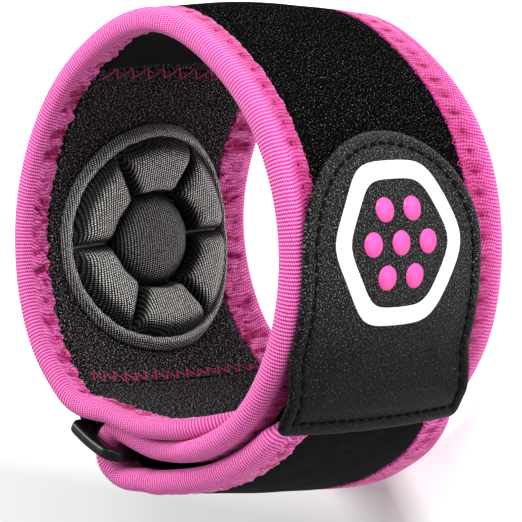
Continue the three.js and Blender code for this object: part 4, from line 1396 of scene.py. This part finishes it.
def tab_stitch(i):
    run = i * pitch + np.linspace(SPACE / 2, pitch - SPACE / 2, len(STITCH_RISE))
    up_tab = np.interp(run, outline_run, outline_up)
    across = np.interp(run, outline_run, outline_across)
    angle = TAB_FROM + np.degrees(up_tab / tab_radius)
    return on_tab(angle, TAB_CENTRE + across, tab_top(STITCH_INSET) + STITCH_RISE)


stitches = [tab_stitch(i) for i in range(stitch_count)]
sew("tab_stitches", stitches, THREAD_RADIUS, black_thread.material, "tab_leather")

# %% [markdown]
# ## A plain printed mark
#
# The print is screen ink, about a tenth of a millimetre thick: a white six-sided outline
# with soft corners and seven pink dots in it, an ornament that echoes the quilting of the
# pad. A flat outline is made first and then laid over the leather with the function that
# shaped it, so it bends with the tab.

# %% Flat ink to wrapped ink
INK_THICKNESS, INK_SUNK = 0.12, 0.15
PRINT_ANGLE = 4.0
print_up = math.radians(PRINT_ANGLE - TAB_FROM) * tab_radius


def six_sided(turn, apothem, softness=9):
    """Radius of a six-sided outline with soft corners."""
    sides = np.radians(np.arange(6) * 60 + 30)
    lean = np.maximum(np.cos(turn[:, None] - sides[None, :]), 0) ** softness
    return apothem / np.sum(lean, axis=1) ** (1 / softness)


def lay_ink(up_print, across, w):
    up_tab = print_up + up_print
    inset = TAB_WIDTH / 2 - np.abs(across)
    base = tab_top(np.minimum(inset, 12.0)) + tab_waves(up_tab, across)
    angle = TAB_FROM + np.degrees(up_tab / tab_radius)
    n = base + np.where(w > 0.5, INK_THICKNESS, -INK_SUNK)
    return on_tab(angle, TAB_CENTRE + across, n), np.column_stack([up_tab, across])


OUTLINE_APOTHEM, OUTLINE_STROKE = 17.0, 3.8


def shape_outline(u, v, w):
    turn = u * 2 * np.pi
    radius = six_sided(turn, OUTLINE_APOTHEM - v * OUTLINE_STROKE)
    return lay_ink(radius * np.sin(turn), radius * np.cos(turn), w)


outline_print = shape_piece("print_outline", lay_slab(240, 8), shape_outline)


# %% Seven dots
DOT_RADIUS, DOT_RING = 2.55, 8.0
DOT_SHEET = 50


def lay_dots():
    sheet = bmesh.new()
    turns = [math.radians(a) for a in range(0, 360, 60)]
    places = [(0.0, 0.0)] + [(DOT_RING * math.sin(a), DOT_RING * math.cos(a)) for a in turns]
    for up_print, across in places:
        spot = Matrix.Translation((up_print, across, 0))
        bmesh.ops.create_circle(sheet, cap_ends=True, segments=32, radius=DOT_RADIUS, matrix=spot)
    bmesh.ops.poke(sheet, faces=sheet.faces)
    add_second_face(sheet)
    bmesh.ops.scale(sheet, verts=sheet.verts, vec=(1 / DOT_SHEET, 1 / DOT_SHEET, 1))
    bmesh.ops.translate(sheet, verts=sheet.verts, vec=(0.5, 0.5, 0))
    return sheet


def shape_dots(u, v, w):
    return lay_ink((u - 0.5) * DOT_SHEET, (v - 0.5) * DOT_SHEET, w)


dots_print = shape_piece("print_dots", lay_dots(), shape_dots)


def ink_recipe(name, dark, light):
    ink = Recipe(name, 0.45)
    mottle = ink.noise(ink.body(), 0.5, detail=3)
    ink.colour(ink.ramp(mottle, (0.35, dark), (0.65, light)))
    ink.relief((mottle, 0.04, 0.5))
    return ink


white_ink = ink_recipe("white_ink", (0.80, 0.80, 0.80), (0.90, 0.90, 0.90))
pink_ink = ink_recipe("pink_ink", (0.76, 0.045, 0.31), (0.88, 0.075, 0.38))
dress(outline_print, white_ink.material, "tab_leather")
dress(dots_print, pink_ink.material, "tab_leather")

# %% [markdown]
# ## The hook patch
#
# Under the tab sits the patch of hooks that grips the pile. Only its edge can be seen, so
# its CAD solid stays and gets the look of moulded hooks in rows.

# %% Hooks in rows
hooks = Recipe("hook_rows", 0.5)
place = hooks.body()
_, side_y, side_z = hooks.split(place)
studs = hooks.times(hooks.waves(side_z, 1.2), hooks.waves(side_y, 1.0))
hooks.colour(hooks.ramp(studs, (0.2, (0.004, 0.004, 0.004)), (0.8, (0.035, 0.035, 0.037))))
hooks.relief((studs, 0.4, 0.9), (hooks.noise(place, 0.3), 0.05, 0.4))
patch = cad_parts["hook_patch"]
for slot in patch.material_slots:
    slot.material = hooks.material
print("hook patch slots:", len(patch.material_slots))

# %% [markdown]
# ## Measure and finish
#
# The dressed strap has to stay in the box of the CAD model, with a little room for cloth.

# %% Sizes
bpy.context.view_layer.update()


def plain(box):
    return [[float(x) for x in corner] for corner in box]
